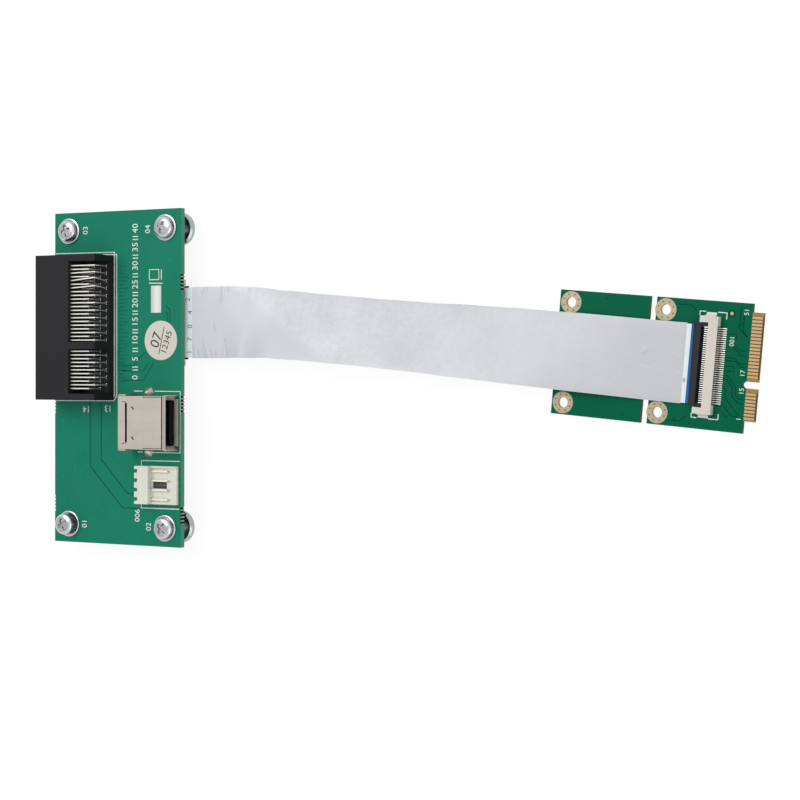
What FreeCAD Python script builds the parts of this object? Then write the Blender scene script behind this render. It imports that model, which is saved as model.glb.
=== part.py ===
"""Mini card to full-size slot adapter: a slot board on four feet, a flat cable and a mini card."""
import FreeCAD, Part
import Sketcher
import math
import os
import re
from FreeCAD import Placement, Rotation, Vector

doc = FreeCAD.newDocument("slot_adapter")
sheet = doc.addObject("Spreadsheet::Sheet", "Sizes")

# Driving sizes in millimetres, degrees and counts; a cell that starts with = follows from the others
SIZES = [
    # Slot board, which stands on four feet
    ("board_width", 42, "slot board, along X"),
    ("board_length", 90, "slot board, along Y"),
    ("board_thick", 1.6, "slot board thickness"),
    ("corner_inset", 5, "corner hole centre from both edges"),
    ("corner_bore", 3.2, "corner hole diameter"),
    ("bite_dia", 0.6, "breakaway perforation diameter"),
    ("bite_pitch", 0.95, "breakaway perforation pitch"),
    ("bite_count", 5, "perforations in one breakaway tab"),
    # Feet, washers and screws
    ("foot_height", 6, "board underside above the table"),
    ("foot_flange_dia", 9, "foot flange diameter"),
    ("foot_flange_thick", 2, "foot flange thickness"),
    ("foot_bevel", 0.45, "foot flange bevel"),
    ("foot_post_dia", 5.6, "foot post diameter"),
    ("foot_bore_depth", 5, "threaded bore depth from the top of the foot"),
    ("screw_dia", 2.9, "screw shank diameter"),
    ("screw_length", 6, "screw length under its head"),
    ("screw_head_dia", 5.6, "pan head diameter"),
    ("screw_head_height", 1.6, "pan head height"),
    ("screw_recess_span", 3.1, "cross recess, tip to tip"),
    ("screw_recess_width", 0.8, "cross recess arm width"),
    ("screw_recess_depth", 1.1, "cross recess depth"),
    ("screw_clear", 0.05, "gap round the screw shank in the foot"),
    ("loose_lift", 1.2, "how far the front left screw is backed out"),
    ("washer_dia", 7, "washer diameter"),
    ("washer_thick", 0.5, "washer thickness"),
    # Right-angle card slot
    ("slot_depth", 19.85, "slot housing, along X"),
    ("slot_length", 39, "slot housing, along Y"),
    ("slot_height", 8.4, "slot housing height above the board"),
    ("slot_inset", 12, "slot housing from the +Y end of the board"),
    ("slot_shift", "=board_length / 2 - slot_inset - slot_length / 2", "slot centre, along Y"),
    ("slot_cover", 11.1, "closed front block of the housing, along X"),
    ("slot_wall", 1.7, "slot housing end wall"),
    ("slot_key", 1.9, "key wall between the two contact groups"),
    ("slot_axis", 4.4, "centre of the mouth above the board"),
    ("mouth_height", 1.8, "mouth opening height"),
    ("mouth_lip", 1.2, "front lip thickness"),
    ("mouth_bevel", 0.35, "lead-in bevel of the mouth"),
    ("cavity_height", 6, "spring cavity height behind the lip"),
    ("cavity_depth", 8.6, "spring cavity rear end behind the front face"),
    ("contact_pitch", 1, "slot contact pitch"),
    ("contact_long_group", 21, "contacts above the key wall"),
    ("contact_short_group", 11, "contacts below the key wall"),
    ("contact_key_pitch", 3, "contact pitch across the key wall"),
    ("contact_inset", 2.9, "first contact from the end of the housing"),
    ("contact_width", 0.3, "slot contact width"),
    ("contact_thick", 0.24, "slot contact thickness"),
    ("contact_upper_run", 2.8, "upper contact run above the mouth centre"),
    ("contact_lower_run", 1.8, "lower contact run below the mouth centre"),
    ("contact_slit", 0.05, "gap round a contact in the housing and the guide"),
    ("tail_inset", 0.8, "outer tail row from the back of the housing"),
    ("tail_pitch", 2, "spacing of the tail rows"),
    ("tail_reach", 1.5, "tails and pins below the board"),
    ("tail_bore", 0.75, "plated hole for a slot tail"),
    ("guide_thick", 2, "tail guide thickness"),
    ("guide_clear", 0.1, "gap round the tail guide"),
    # Receptacle with a flared metal shell
    ("port_setback", 0.75, "mouth of the port behind the board edge"),
    ("port_length", 15.5, "port shell, along X"),
    ("port_width", 14.2, "port shell, along Y"),
    ("port_height", 5.6, "port shell height"),
    ("port_standoff", 0.35, "port shell above the board"),
    ("port_inset", 33.15, "port centre from the -Y end of the board"),
    ("port_shift", "=port_inset - board_length / 2", "port centre, along Y"),
    ("port_wall", 0.3, "port sheet thickness"),
    ("port_side", 1.05, "folded side of the shell, from its outer to its inner face"),
    ("port_flare_depth", 1.1, "depth of the flared lips"),
    ("port_flare", 0.3, "how far the lips flare outwards"),
    ("port_corner", 0.9, "lower lip, short of the sides of the shell"),
    ("port_slit_width", 0.65, "slit across the top of the shell"),
    ("port_slit_length", 10.4, "length of that slit"),
    ("port_slit_inset", 2.3, "slit from the back of the shell"),
    ("port_dimple", 0.5, "square dimple in the top of the shell"),
    ("port_dimple_depth", 0.15, "depth of the dimple"),
    ("port_dimple_inset", 4.7, "dimples from the back of the shell"),
    ("port_dimple_spacing", 8, "spacing of the two dimples"),
    ("port_flap", 0.45, "rear cover flap, thickness beyond the side of the shell"),
    ("port_flap_length", 2.3, "rear cover flap, along X"),
    ("port_leg_width", 1.8, "shell leg width"),
    ("port_leg_inset", 5.8, "shell leg centre from the back of the shell"),
    ("port_leg_bore", 2.2, "board hole for a shell leg"),
    ("port_block", 4.6, "insulator block depth"),
    ("port_tongue_width", 11.1, "insulator tongue width"),
    ("port_tongue_thick", 1.84, "insulator tongue thickness"),
    ("port_tongue_rise", 0.7, "tongue above the shell floor"),
    ("port_tongue_setback", 0.75, "tongue tip behind the mouth"),
    ("port_blade_width", 1, "port contact width"),
    ("port_blade_thick", 0.25, "port contact thickness"),
    ("port_blade_inner", 2, "spacing of the two inner contacts"),
    ("port_blade_outer", 7, "spacing of the two outer contacts"),
    ("port_blade_inset", 2, "contact leg from the back of the shell"),
    ("port_blade_bore", 1.2, "board hole for a port contact"),
    ("port_clear", 0.05, "gap between shell, insulator and contacts"),
    # Four-way power header
    ("header_setback", 0.7, "front of the header behind the board edge"),
    ("header_length", 12.5, "header, along X"),
    ("header_width", 10.2, "header, along Y"),
    ("header_height", 2.9, "header block height above the board"),
    ("header_inset", 16.45, "header centre from the -Y end of the board"),
    ("header_shift", "=header_inset - board_length / 2", "header centre, along Y"),
    ("header_block", 4.5, "closed rear block of the header, along X"),
    ("header_floor", 1, "header floor thickness"),
    ("header_rim_width", 0.6, "header side rim width"),
    ("header_rim", 0.45, "header side rim above its floor"),
    ("header_notch_depth", 1.0, "rear notch, along X"),
    ("header_notch_width", 0.95, "rear notch, along Y"),
    ("header_window_length", 4.6, "latch window, along X"),
    ("header_window_width", 1.8, "latch window, along Y"),
    ("header_window_inset", 0.25, "latch window from the rear block"),
    ("pin_pitch", 2.5, "power pin pitch"),
    ("pin_count", 4, "power pins"),
    ("pin_size", 0.5, "square power pin"),
    ("pin_rise", 1.45, "power pin centre above the board"),
    ("pin_reach", 5.8, "power pin in front of the rear block"),
    ("pin_clear", 0.03, "gap round a power pin in the header"),
    ("pin_bore", 1.1, "board hole for a power pin"),
    # Flat cable socket, the same on the board and on the card
    ("socket_width", 22.8, "socket between its end faces"),
    ("socket_height", 2, "socket height"),
    ("socket_depth", 5.4, "socket from the lever's front edge to its back"),
    ("socket_bar", 2.3, "rear bar depth"),
    ("socket_post", 1.5, "end post width"),
    ("socket_post_front", 0.9, "end post behind the lever's front edge"),
    ("socket_floor", 0.45, "socket floor thickness"),
    ("socket_floor_front", 0.5, "floor behind the lever's front edge"),
    ("socket_cavity", 0.5, "cable cavity height"),
    ("socket_back", 0.6, "rear wall behind the cable cavity"),
    ("socket_roof", 0.36, "bar above its contact slits"),
    ("blade_pitch", 0.5, "cable contact pitch"),
    ("blade_count", 36, "cable contacts"),
    ("blade_width", 0.2, "cable contact width"),
    ("blade_slit", 0.03, "gap round a cable contact in its slit"),
    ("blade_arm", 0.25, "cable contact arm height"),
    ("blade_foot", 1.7, "solder foot behind the socket"),
    ("blade_foot_thick", 0.14, "solder foot thickness"),
    ("blade_tip", 0.95, "upper arm in front of the bar"),
    ("blade_front", 1.5, "lower arm tip behind the lever's front edge"),
    ("lever_depth", 1.45, "lever flap, front to back"),
    ("lever_top", 1.75, "lever flap top above the circuit board"),
    ("lever_thick", 0.75, "lever flap thickness"),
    ("lever_tooth_top", 1.4, "top of the lever's teeth"),
    ("lever_tooth_base", 0.95, "underside of the lever's teeth"),
    ("lever_slot", 0.3, "lever slot for a contact tip"),
    ("lever_axis_back", 2.6, "lever pivot behind the front edge"),
    ("lever_axis_rise", 1.05, "lever pivot above the circuit board"),
    ("lever_rod_dia", 0.4, "lever rod and pivot diameter"),
    ("lever_pivot", 0.3, "pivot pin length in the post"),
    ("lever_gap", 0.15, "gap between the lever and the posts"),
    ("pivot_clear", 0.06, "gap round the pivot pin"),
    ("tab_length", 2.5, "hold-down tab, along the cable"),
    ("tab_back", 1.9, "hold-down tab behind the lever's front edge"),
    ("tab_reach", 0.9, "hold-down tab beyond the socket's end"),
    ("tab_thick", 0.2, "hold-down tab thickness"),
    ("tab_rise", 1.3, "hold-down tab height"),
    ("board_socket_shift", 14.7, "board socket centre, along Y"),
    # Flat cable
    ("cable_width", 18.5, "flat cable width"),
    ("cable_thick", 0.2, "flat cable thickness at its bare ends"),
    ("cable_insert", 4.6, "cable end behind the lever's front edge"),
    ("shield_width", 18.9, "shield film width"),
    ("shield_thick", 0.3, "shielded cable thickness"),
    ("board_bare", 2.1, "bare cable in front of the board socket"),
    ("card_bare", 2.5, "bare cable in front of the card socket"),
    ("stiffener_thick", 0.12, "end stiffener thickness"),
    ("stiffener_out", 1.3, "stiffener in front of the socket"),
    # Mini card
    ("card_gap", 141.1, "card hole centre from the board centre, along X"),
    ("card_offset", 5.54, "card hole centre from the board centre, along Y"),
    ("card_turn", -4.97, "card turned about Z"),
    ("card_lift", 0.05, "card underside above the table"),
    ("card_thick", 1, "card thickness"),
    ("card_width", 30, "card width"),
    ("card_back", 14.98, "card's rear edge from the hole centre"),
    ("card_shoulder", 33.2, "card shoulder from the hole centre"),
    ("card_edge", 35.98, "card's contact edge from the hole centre"),
    ("tongue_left", 13, "contact tongue, left of the centre line"),
    ("tongue_right", 12.1, "contact tongue, right of the centre line"),
    ("tongue_bevel", 0.25, "bevel of the contact edge"),
    ("key_shift", -3.75, "key notch from the centre line"),
    ("key_width", 1.6, "key notch width"),
    ("key_depth", 3.7, "key notch depth"),
    ("card_hole_length", 24.15, "card hole spacing along the card"),
    ("card_hole_width", 24.2, "card hole spacing across the card"),
    ("card_bore", 2.6, "card hole diameter"),
    ("split_start", 8.1, "breakaway slot from the hole centre"),
    ("split_width", 1.6, "breakaway slot width"),
    ("split_bridge", 13, "bridge between the breakaway slots"),
    ("finger_pitch", 0.8, "edge finger pitch"),
    ("finger_width", 0.55, "edge finger width"),
    ("finger_length", 2.5, "edge finger length"),
    ("finger_thick", 0.04, "edge finger plating"),
    ("finger_long_group", 18, "fingers left of the key notch"),
    ("finger_short_group", 8, "fingers right of the key notch"),
    ("finger_first", 11.75, "first finger from the centre line"),
    ("finger_second", -5.85, "first finger right of the key notch"),
    ("card_socket_front", 20.35, "card socket lever edge from the hole centre"),
    # Inspection label
    ("label_dia", 10.5, "round label diameter"),
    ("label_thick", 0.1, "round label thickness"),
    ("label_x", 14.5, "label centre from the board centre, along X"),
    ("label_y", 10, "label centre from the board centre, along Y"),
]
for number, (alias, value, meaning) in enumerate(SIZES, start=1):
    sheet.set(f"A{number}", meaning)
    sheet.set(f"B{number}", str(value))
    sheet.setAlias(f"B{number}", alias)
doc.recompute()

ALIASES = {alias for alias, value, meaning in SIZES}
WORD = re.compile(r"[a-z_]+")


def formula(text):
    """Point every size named in the text at its cell in the sheet."""
    return WORD.sub(lambda found: f"Sizes.{found[0]}" if found[0] in ALIASES else found[0], text)


def size(alias):
    """A size's number, for shapes that are worked out point by point."""
    return float(sheet.get(alias))


# Places that follow from the driving sizes
BOARD_TOP = "(foot_height + board_thick)"
BOARD_EDGE = "(board_width / 2)"
CORNER_X = "(board_width / 2 - corner_inset)"
CORNER_Y = "(board_length / 2 - corner_inset)"
CARD_TOP = "(card_lift + card_thick)"
SLOT_FRONT = "(0 - board_width / 2)"
SLOT_BACK = "(slot_depth - board_width / 2)"
SLOT_LEFT = "(slot_shift + slot_length / 2)"
SLOT_RIGHT = "(slot_shift - slot_length / 2)"
BLOCK_BACK = "(slot_cover - board_width / 2)"
SLOT_AXIS = f"({BOARD_TOP} + slot_axis)"
FIRST_CONTACT = f"({SLOT_LEFT} - contact_inset)"
LONG_SPAN = "((contact_long_group - 1) * contact_pitch)"
SHORT_SPAN = "((contact_short_group - 1) * contact_pitch)"
KEY_MIDDLE = f"({FIRST_CONTACT} - {LONG_SPAN} - contact_key_pitch / 2)"
PORT_FRONT = f"({BOARD_EDGE} - port_setback)"
PORT_BACK = f"({PORT_FRONT} - port_length)"
PORT_NECK = f"({PORT_FRONT} - port_flare_depth)"
PORT_FLOOR = f"({BOARD_TOP} + port_standoff)"
PORT_ROOF = f"({PORT_FLOOR} + port_height)"
TONGUE_BASE = f"({PORT_FLOOR} + port_wall + port_tongue_rise)"
TONGUE_TOP = f"({TONGUE_BASE} + port_tongue_thick)"
HEADER_FRONT = f"({BOARD_EDGE} - header_setback)"
HEADER_BACK = f"({HEADER_FRONT} - header_length)"
HEADER_STEP = f"({HEADER_BACK} + header_block)"
PIN_LEG = f"({HEADER_BACK} + header_notch_depth / 2)"
PIN_SPAN = "((pin_count - 1) * pin_pitch)"
BLADE_SPAN = "((blade_count - 1) * blade_pitch)"
BAR_FRONT = "(socket_depth - socket_bar)"
CAVITY_TOP = "(socket_floor + socket_cavity)"
ARM_TOP = "(socket_height - socket_roof - blade_slit)"
POST_FACE = "(socket_width / 2 - socket_post)"
LEVER_END = f"({POST_FACE} - lever_gap)"
# The origin lies midway between the slot's mouth and the furthest corner of the card, on the table
CARD_REACH = "(card_gap + card_edge * cos(card_turn) - tongue_left * sin(card_turn))"
BOARD_X = f"(0 - ({CARD_REACH} - board_width / 2) / 2)"


def seat_on_board(piece):
    """Place a piece that is drawn from the centre of the slot board."""
    piece.setExpression("Placement.Base.x", formula(BOARD_X))


def card_point(along, across):
    """Formulas for a place on the turned card, from its hole centre."""
    place_x = f"{BOARD_X} + card_gap + ({along}) * cos(card_turn) - ({across}) * sin(card_turn)"
    place_y = f"card_offset + ({along}) * sin(card_turn) + ({across}) * cos(card_turn)"
    return place_x, place_y


def seat_on_card(piece, along="0", rise="0"):
    """Place a piece that is drawn along the card's own length."""
    place_x, place_y = card_point(along, "0")
    piece.Placement = Placement(Vector(), Rotation(Vector(0, 0, 1), size("card_turn")))
    piece.setExpression("Placement.Base.x", formula(place_x))
    piece.setExpression("Placement.Base.y", formula(place_y))
    piece.setExpression("Placement.Base.z", formula(rise))
    piece.setExpression("Placement.Rotation.Angle", formula("card_turn"))


def seat_card_socket(piece):
    """Place a cable socket piece on top of the card."""
    seat_on_card(piece, "card_socket_front", CARD_TOP)


def seat_board_socket(piece):
    """Place a cable socket piece upside down under the board, with its mouth at the board's edge."""
    piece.Placement = Placement(Vector(), Rotation(Vector(0, 1, 0), 180))
    piece.setExpression("Placement.Base.x", formula(f"{BOARD_X} + {BOARD_EDGE}"))
    piece.setExpression("Placement.Base.y", formula("board_socket_shift"))
    piece.setExpression("Placement.Base.z", formula("foot_height"))


nodes = []


def new_body(label, seat, blank=False):
    """Start a body that becomes a node of its own, or a blank that is cut further."""
    body = doc.addObject("PartDesign::Body", label)
    body.Label = label
    seat(body)
    if not blank:
        nodes.append(body)
    return body


def new_feature(label, shape, seat):
    """Add a node whose shape was worked out point by point."""
    feature = doc.addObject("Part::Feature", label)
    feature.Label = label
    feature.Shape = shape
    seat(feature)
    nodes.append(feature)
    return feature


def datum(body, role):
    """One of the body's own origin planes or axes."""
    return next(item for item in body.Origin.OriginFeatures if item.Role == role)


def new_sketch(body, plane, offset="0"):
    """Start a sketch on an origin plane, moved along the plane's normal."""
    sketch = body.newObject("Sketcher::SketchObject", "Sketch")
    sketch.AttachmentSupport = [(datum(body, plane), "")]
    sketch.MapMode = "FlatFace"
    sketch.setExpression("AttachmentOffset.Base.z", formula(offset))
    return sketch


drawings = {}


def outline(sketch, corners):
    """Draw a closed outline whose corners are given by formulas."""
    lines, rules = drawings.setdefault(sketch.Name, ([], []))
    first = len(lines)
    count = len(corners)
    spots = [Vector(math.cos(math.tau * k / count), math.sin(math.tau * k / count), 0) for k in range(count)]
    for k, (place_x, place_y) in enumerate(corners):
        lines.append(Part.LineSegment(spots[k], spots[(k + 1) % count]))
        rules.append((Sketcher.Constraint("Coincident", first + k, 2, first + (k + 1) % count, 1), None))
        rules.append((Sketcher.Constraint("DistanceX", -1, 1, first + k, 1, spots[k].x), place_x))
        rules.append((Sketcher.Constraint("DistanceY", -1, 1, first + k, 1, spots[k].y), place_y))


def rectangle(sketch, low_x, high_x, low_y, high_y):
    """Draw a rectangle between four formulas."""
    outline(sketch, [(low_x, low_y), (high_x, low_y), (high_x, high_y), (low_x, high_y)])


def circle(sketch, place_x, place_y, diameter):
    """Draw a circle whose centre and diameter are formulas."""
    lines, rules = drawings.setdefault(sketch.Name, ([], []))
    index = len(lines)
    lines.append(Part.Circle(Vector(1, 1, 0), Vector(0, 0, 1), 1))
    rules.append((Sketcher.Constraint("DistanceX", -1, 1, index, 3, 1), place_x))
    rules.append((Sketcher.Constraint("DistanceY", -1, 1, index, 3, 1), place_y))
    rules.append((Sketcher.Constraint("Diameter", index, 2), diameter))


def facets(sketch, place_x, place_y, diameter, sides=8):
    """Draw a small round, as an outline with a few equal sides."""
    turns = [math.tau * (k + 0.5) / sides for k in range(sides)]
    outline(sketch, [(f"{place_x} + ({diameter}) * {math.cos(turn) / 2:.5f}",
                      f"{place_y} + ({diameter}) * {math.sin(turn) / 2:.5f}") for turn in turns])


def settle(sketch):
    """Put all that was drawn into the sketch and tie its sizes to their formulas."""
    lines, rules = drawings.pop(sketch.Name)
    sketch.addGeometry(lines, False)
    sketch.addConstraint([rule for rule, text in rules])
    for index, (rule, text) in enumerate(rules):
        if text:
            sketch.renameConstraint(index, f"size_{index}")
            sketch.setExpression(f"Constraints.size_{index}", formula(text))


def extrude(body, kind, sketch, length, both_ways, backwards=False):
    """Pad or pocket a sketch, to one side of it or evenly to both."""
    settle(sketch)
    feature = body.newObject(f"PartDesign::{kind}", kind)
    feature.Profile = sketch
    feature.Refine = kind == "Pad"
    feature.SideType = "Symmetric" if both_ways else "One side"
    feature.Reversed = backwards
    feature.setExpression("Length", formula(length))
    return feature


def pad(body, sketch, length, both_ways=False):
    """Add material along the sketch's normal."""
    return extrude(body, "Pad", sketch, length, both_ways)


def pocket(body, sketch, length, both_ways=False):
    """Cut material away along the sketch's normal."""
    return extrude(body, "Pocket", sketch, length, both_ways, backwards=not both_ways)


def loft(body, kind, near, far):
    """Join two sketches with straight walls, adding or cutting."""
    settle(near)
    settle(far)
    feature = body.newObject(f"PartDesign::{kind}Loft", kind)
    feature.Profile = near
    feature.Sections = [far]
    feature.Ruled = True
    return feature


def repeat(body, feature, axis, length, copies, cross=None):
    """Repeat a feature along an axis, and along a second one if it is given."""
    pattern = body.newObject("PartDesign::LinearPattern", "Row")
    pattern.Originals = [feature]
    pattern.Refine = False
    pattern.Direction = (datum(body, axis), [""])
    pattern.setExpression("Length", formula(length))
    pattern.setExpression("Occurrences", formula(copies))
    if cross:
        cross_axis, cross_length, cross_copies = cross
        pattern.Direction2 = (datum(body, cross_axis), [""])
        pattern.setExpression("Length2", formula(cross_length))
        pattern.setExpression("Occurrences2", formula(cross_copies))
    body.Tip = pattern
    return pattern


def bevel(body, base, edges, width):
    """Bevel the named edges of a feature."""
    feature = body.newObject("PartDesign::Chamfer", "Bevel")
    feature.Base = (base, edges)
    feature.setExpression("Size", formula(width))
    body.Tip = feature
    return feature


def pierce_for_tails(label, blank, section):
    """Cut a hole of the given section through a blank for every slot tail."""
    long_group = int(size("contact_long_group"))
    first = size("slot_shift") + size("slot_length") / 2 - size("contact_inset")
    back = size("slot_depth") - size("board_width") / 2 - size("tail_inset")
    drills = []
    for number in range(long_group + int(size("contact_short_group"))):
        across_key = (size("contact_key_pitch") - size("contact_pitch")) if number >= long_group else 0
        place = first - number * size("contact_pitch") - across_key
        for row in (number % 2, number % 2 + 2):
            corners = [Vector(back - row * size("tail_pitch") + x, place + y, 0) for x, y in section]
            face = Part.Face(Part.makePolygon(corners + corners[:1]))
            drills.append(face.extrude(Vector(0, 0, 2 * size("foot_height"))))
    tool = doc.addObject("Part::Feature", f"{label}_drills")
    tool.Shape = Part.makeCompound(drills)
    seat_on_board(tool)
    cut = doc.addObject("Part::Cut", label)
    cut.Label = label
    cut.Base = blank
    cut.Tool = tool
    nodes.append(cut)


# Breakaway tabs round the slot board, as shares of its length or width
SIDE_TABS = [("board_width / 2", 0.283), ("board_width / 2", -0.077), ("board_width / 2", -0.405),
             ("0 - board_width / 2", -0.084), ("0 - board_width / 2", -0.383)]
END_TABS = [("board_length / 2", -0.243), ("board_length / 2", 0.243),
            ("0 - board_length / 2", -0.243), ("0 - board_length / 2", 0.243)]


def main_board():
    """Slot board: plain rectangle with corner holes, plated holes and breakaway notches."""
    body = new_body("main_board_blank", seat_on_board, blank=True)
    plate = new_sketch(body, "XY_Plane", "foot_height")
    rectangle(plate, "0 - board_width / 2", "board_width / 2", "0 - board_length / 2", "board_length / 2")
    pad(body, plate, "board_thick")
    holes = new_sketch(body, "XY_Plane", "foot_height")
    for sign_x in ("", "0 - "):
        for sign_y in ("", "0 - "):
            circle(holes, f"{sign_x}{CORNER_X}", f"{sign_y}{CORNER_Y}", "corner_bore")
    pocket(body, holes, "board_thick")
    drilled = new_sketch(body, "XY_Plane", "foot_height")
    for sign in ("+", "-"):
        facets(drilled, f"{PORT_BACK} + port_leg_inset", f"port_shift {sign} (port_width - port_wall) / 2",
               "port_leg_bore")
        for spacing in ("port_blade_inner", "port_blade_outer"):
            facets(drilled, f"{PORT_BACK} + port_blade_inset", f"port_shift {sign} {spacing} / 2",
                   "port_blade_bore")
    pocket(body, drilled, "board_thick")
    pin_hole = new_sketch(body, "XY_Plane", "foot_height")
    facets(pin_hole, PIN_LEG, f"header_shift - {PIN_SPAN} / 2", "pin_bore")
    repeat(body, pocket(body, pin_hole, "board_thick"), "Y_Axis", PIN_SPAN, "pin_count")
    run = "(bite_count - 1) * bite_pitch"
    for edge, share in SIDE_TABS:
        bite = new_sketch(body, "XY_Plane", "foot_height")
        facets(bite, edge, f"{share} * board_length - {run} / 2", "bite_dia", 6)
        repeat(body, pocket(body, bite, "board_thick"), "Y_Axis", run, "bite_count")
    for edge, share in END_TABS:
        bite = new_sketch(body, "XY_Plane", "foot_height")
        facets(bite, f"{share} * board_width - {run} / 2", edge, "bite_dia", 6)
        repeat(body, pocket(body, bite, "board_thick"), "X_Axis", run, "bite_count")
    turns = [math.tau * (k + 0.5) / 8 for k in range(8)]
    radius = size("tail_bore") / 2
    section = [(radius * math.cos(turn), radius * math.sin(turn)) for turn in turns]
    pierce_for_tails("main_board", body, section)


def corner_feet():
    """Turned feet: a bevelled flange on the table and a post up to the board, bored for the screw."""
    body = new_body("corner_feet", seat_on_board)
    flange = new_sketch(body, "XY_Plane")
    circle(flange, f"0 - {CORNER_X}", f"0 - {CORNER_Y}", "foot_flange_dia")
    disc = pad(body, flange, "foot_flange_thick")
    doc.recompute()
    rims = [f"Edge{k}" for k, edge in enumerate(disc.Shape.Edges, start=1) if edge.Closed]
    rounded = bevel(body, disc, rims, "foot_bevel")
    post = new_sketch(body, "XY_Plane", "foot_flange_thick")
    circle(post, f"0 - {CORNER_X}", f"0 - {CORNER_Y}", "foot_post_dia")
    pad(body, post, "foot_height - foot_flange_thick")
    bore = new_sketch(body, "XY_Plane", "foot_height - foot_bore_depth")
    circle(bore, f"0 - {CORNER_X}", f"0 - {CORNER_Y}", "screw_dia + 2 * screw_clear")
    pocket(body, bore, "foot_bore_depth")
    pattern = repeat(body, rounded, "X_Axis", f"2 * {CORNER_X}", "2", ("Y_Axis", f"2 * {CORNER_Y}", "2"))
    pattern.TransformMode = "Whole shape"


def corner_washers():
    """Flat washers under the screw heads."""
    body = new_body("corner_washers", seat_on_board)
    ring = new_sketch(body, "XY_Plane", BOARD_TOP)
    circle(ring, f"0 - {CORNER_X}", f"0 - {CORNER_Y}", "washer_dia")
    circle(ring, f"0 - {CORNER_X}", f"0 - {CORNER_Y}", "corner_bore")
    washer = pad(body, ring, "washer_thick")
    repeat(body, washer, "X_Axis", f"2 * {CORNER_X}", "2", ("Y_Axis", f"2 * {CORNER_Y}", "2"))


def corner_screws():
    """Pan-head screws with a cross recess, three driven home and one backed out."""
    crown = size("screw_head_height")
    radius = size("screw_head_dia") / 2
    rim = crown * 0.6
    stem = size("screw_dia") / 2
    reach = size("screw_length")
    recess = size("screw_recess_depth")
    corners = [Vector(0, 0, crown), Vector(0, 0, -reach), Vector(stem, 0, -reach), Vector(stem, 0, 0),
               Vector(radius, 0, 0), Vector(radius, 0, rim), Vector(radius * 0.9, 0, crown * 0.85),
               Vector(radius * 0.66, 0, crown * 0.97)]
    profile = Part.makePolygon(corners + corners[:1])
    screw = Part.Face(profile).revolve(Vector(), Vector(0, 0, 1), 360)
    span = size("screw_recess_span")
    width = size("screw_recess_width")
    arm = Part.makeBox(span, width, recess, Vector(-span / 2, -width / 2, crown - recess))
    cross = arm.fuse(arm.rotated(Vector(), Vector(0, 0, 1), 90)).removeSplitter()
    screw = screw.cut(cross.rotated(Vector(), Vector(0, 0, 1), 40))
    seat_z = size("foot_height") + size("board_thick") + size("washer_thick")
    place_x = size("board_width") / 2 - size("corner_inset")
    place_y = size("board_length") / 2 - size("corner_inset")
    copies = []
    for sign_x, sign_y, lift in ((-1, -1, size("loose_lift")), (1, -1, 0), (-1, 1, 0), (1, 1, 0)):
        copies.append(screw.translated(Vector(sign_x * place_x, sign_y * place_y, seat_z + lift)))
    new_feature("corner_screws", Part.makeCompound(copies), seat_on_board)


def slot_housing():
    """Right-angle slot housing: a closed front block with a keyed mouth, open behind over the contacts."""
    body = new_body("slot_housing", seat_on_board)
    block = new_sketch(body, "XY_Plane", BOARD_TOP)
    rectangle(block, SLOT_FRONT, SLOT_BACK, SLOT_RIGHT, SLOT_LEFT)
    pad(body, block, "slot_height")
    windows = new_sketch(body, "XY_Plane", BOARD_TOP)
    ends = [(f"{KEY_MIDDLE} + slot_key / 2", f"{SLOT_LEFT} - slot_wall"),
            (f"{SLOT_RIGHT} + slot_wall", f"{KEY_MIDDLE} - slot_key / 2")]
    for low, high in ends:
        rectangle(windows, BLOCK_BACK, f"{SLOT_BACK} + slot_wall", low, high)
    pocket(body, windows, "slot_height")
    under_key = new_sketch(body, "XY_Plane", BOARD_TOP)
    rectangle(under_key, BLOCK_BACK, f"{SLOT_BACK} + slot_wall",
              f"{KEY_MIDDLE} - slot_key", f"{KEY_MIDDLE} + slot_key")
    pocket(body, under_key, "guide_thick + guide_clear")
    margin = "(contact_width / 2 + contact_pitch - contact_width)"
    groups = [(f"{FIRST_CONTACT} - {LONG_SPAN} - {margin}", f"{FIRST_CONTACT} + {margin}"),
              (f"{KEY_MIDDLE} - contact_key_pitch / 2 - {SHORT_SPAN} - {margin}",
               f"{KEY_MIDDLE} - contact_key_pitch / 2 + {margin}")]
    mouth = new_sketch(body, "YZ_Plane", SLOT_FRONT)
    cavity = new_sketch(body, "YZ_Plane", f"{SLOT_FRONT} + mouth_lip")
    slits = new_sketch(body, "YZ_Plane", f"{SLOT_FRONT} + mouth_lip")
    half_slit = "(contact_thick / 2 + contact_slit)"
    for low, high in groups:
        rectangle(mouth, low, high, f"{SLOT_AXIS} - mouth_height / 2", f"{SLOT_AXIS} + mouth_height / 2")
        rectangle(cavity, low, high, f"{SLOT_AXIS} - cavity_height / 2", f"{SLOT_AXIS} + cavity_height / 2")
        for run in (f"{SLOT_AXIS} + contact_upper_run", f"{SLOT_AXIS} - contact_lower_run"):
            rectangle(slits, low, high, f"{run} - {half_slit}", f"{run} + {half_slit}")
    opened = pocket(body, mouth, "cavity_depth")
    doc.recompute()
    front = size("board_width") / -2
    axis = size("foot_height") + size("board_thick") + size("slot_axis")
    rims = []
    for k, edge in enumerate(opened.Shape.Edges, start=1):
        middle = edge.BoundBox.Center
        inside = abs(middle.z - axis) < size("mouth_height")
        if abs(edge.BoundBox.XMin - front) + abs(edge.BoundBox.XMax - front) < 0.01 and inside:
            if edge.BoundBox.ZLength < size("mouth_height") * 1.5:
                rims.append(f"Edge{k}")
    bevel(body, opened, rims, "mouth_bevel")
    pocket(body, cavity, "cavity_depth - mouth_lip")
    body.Tip = pocket(body, slits, "slot_cover - mouth_lip")


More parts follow.
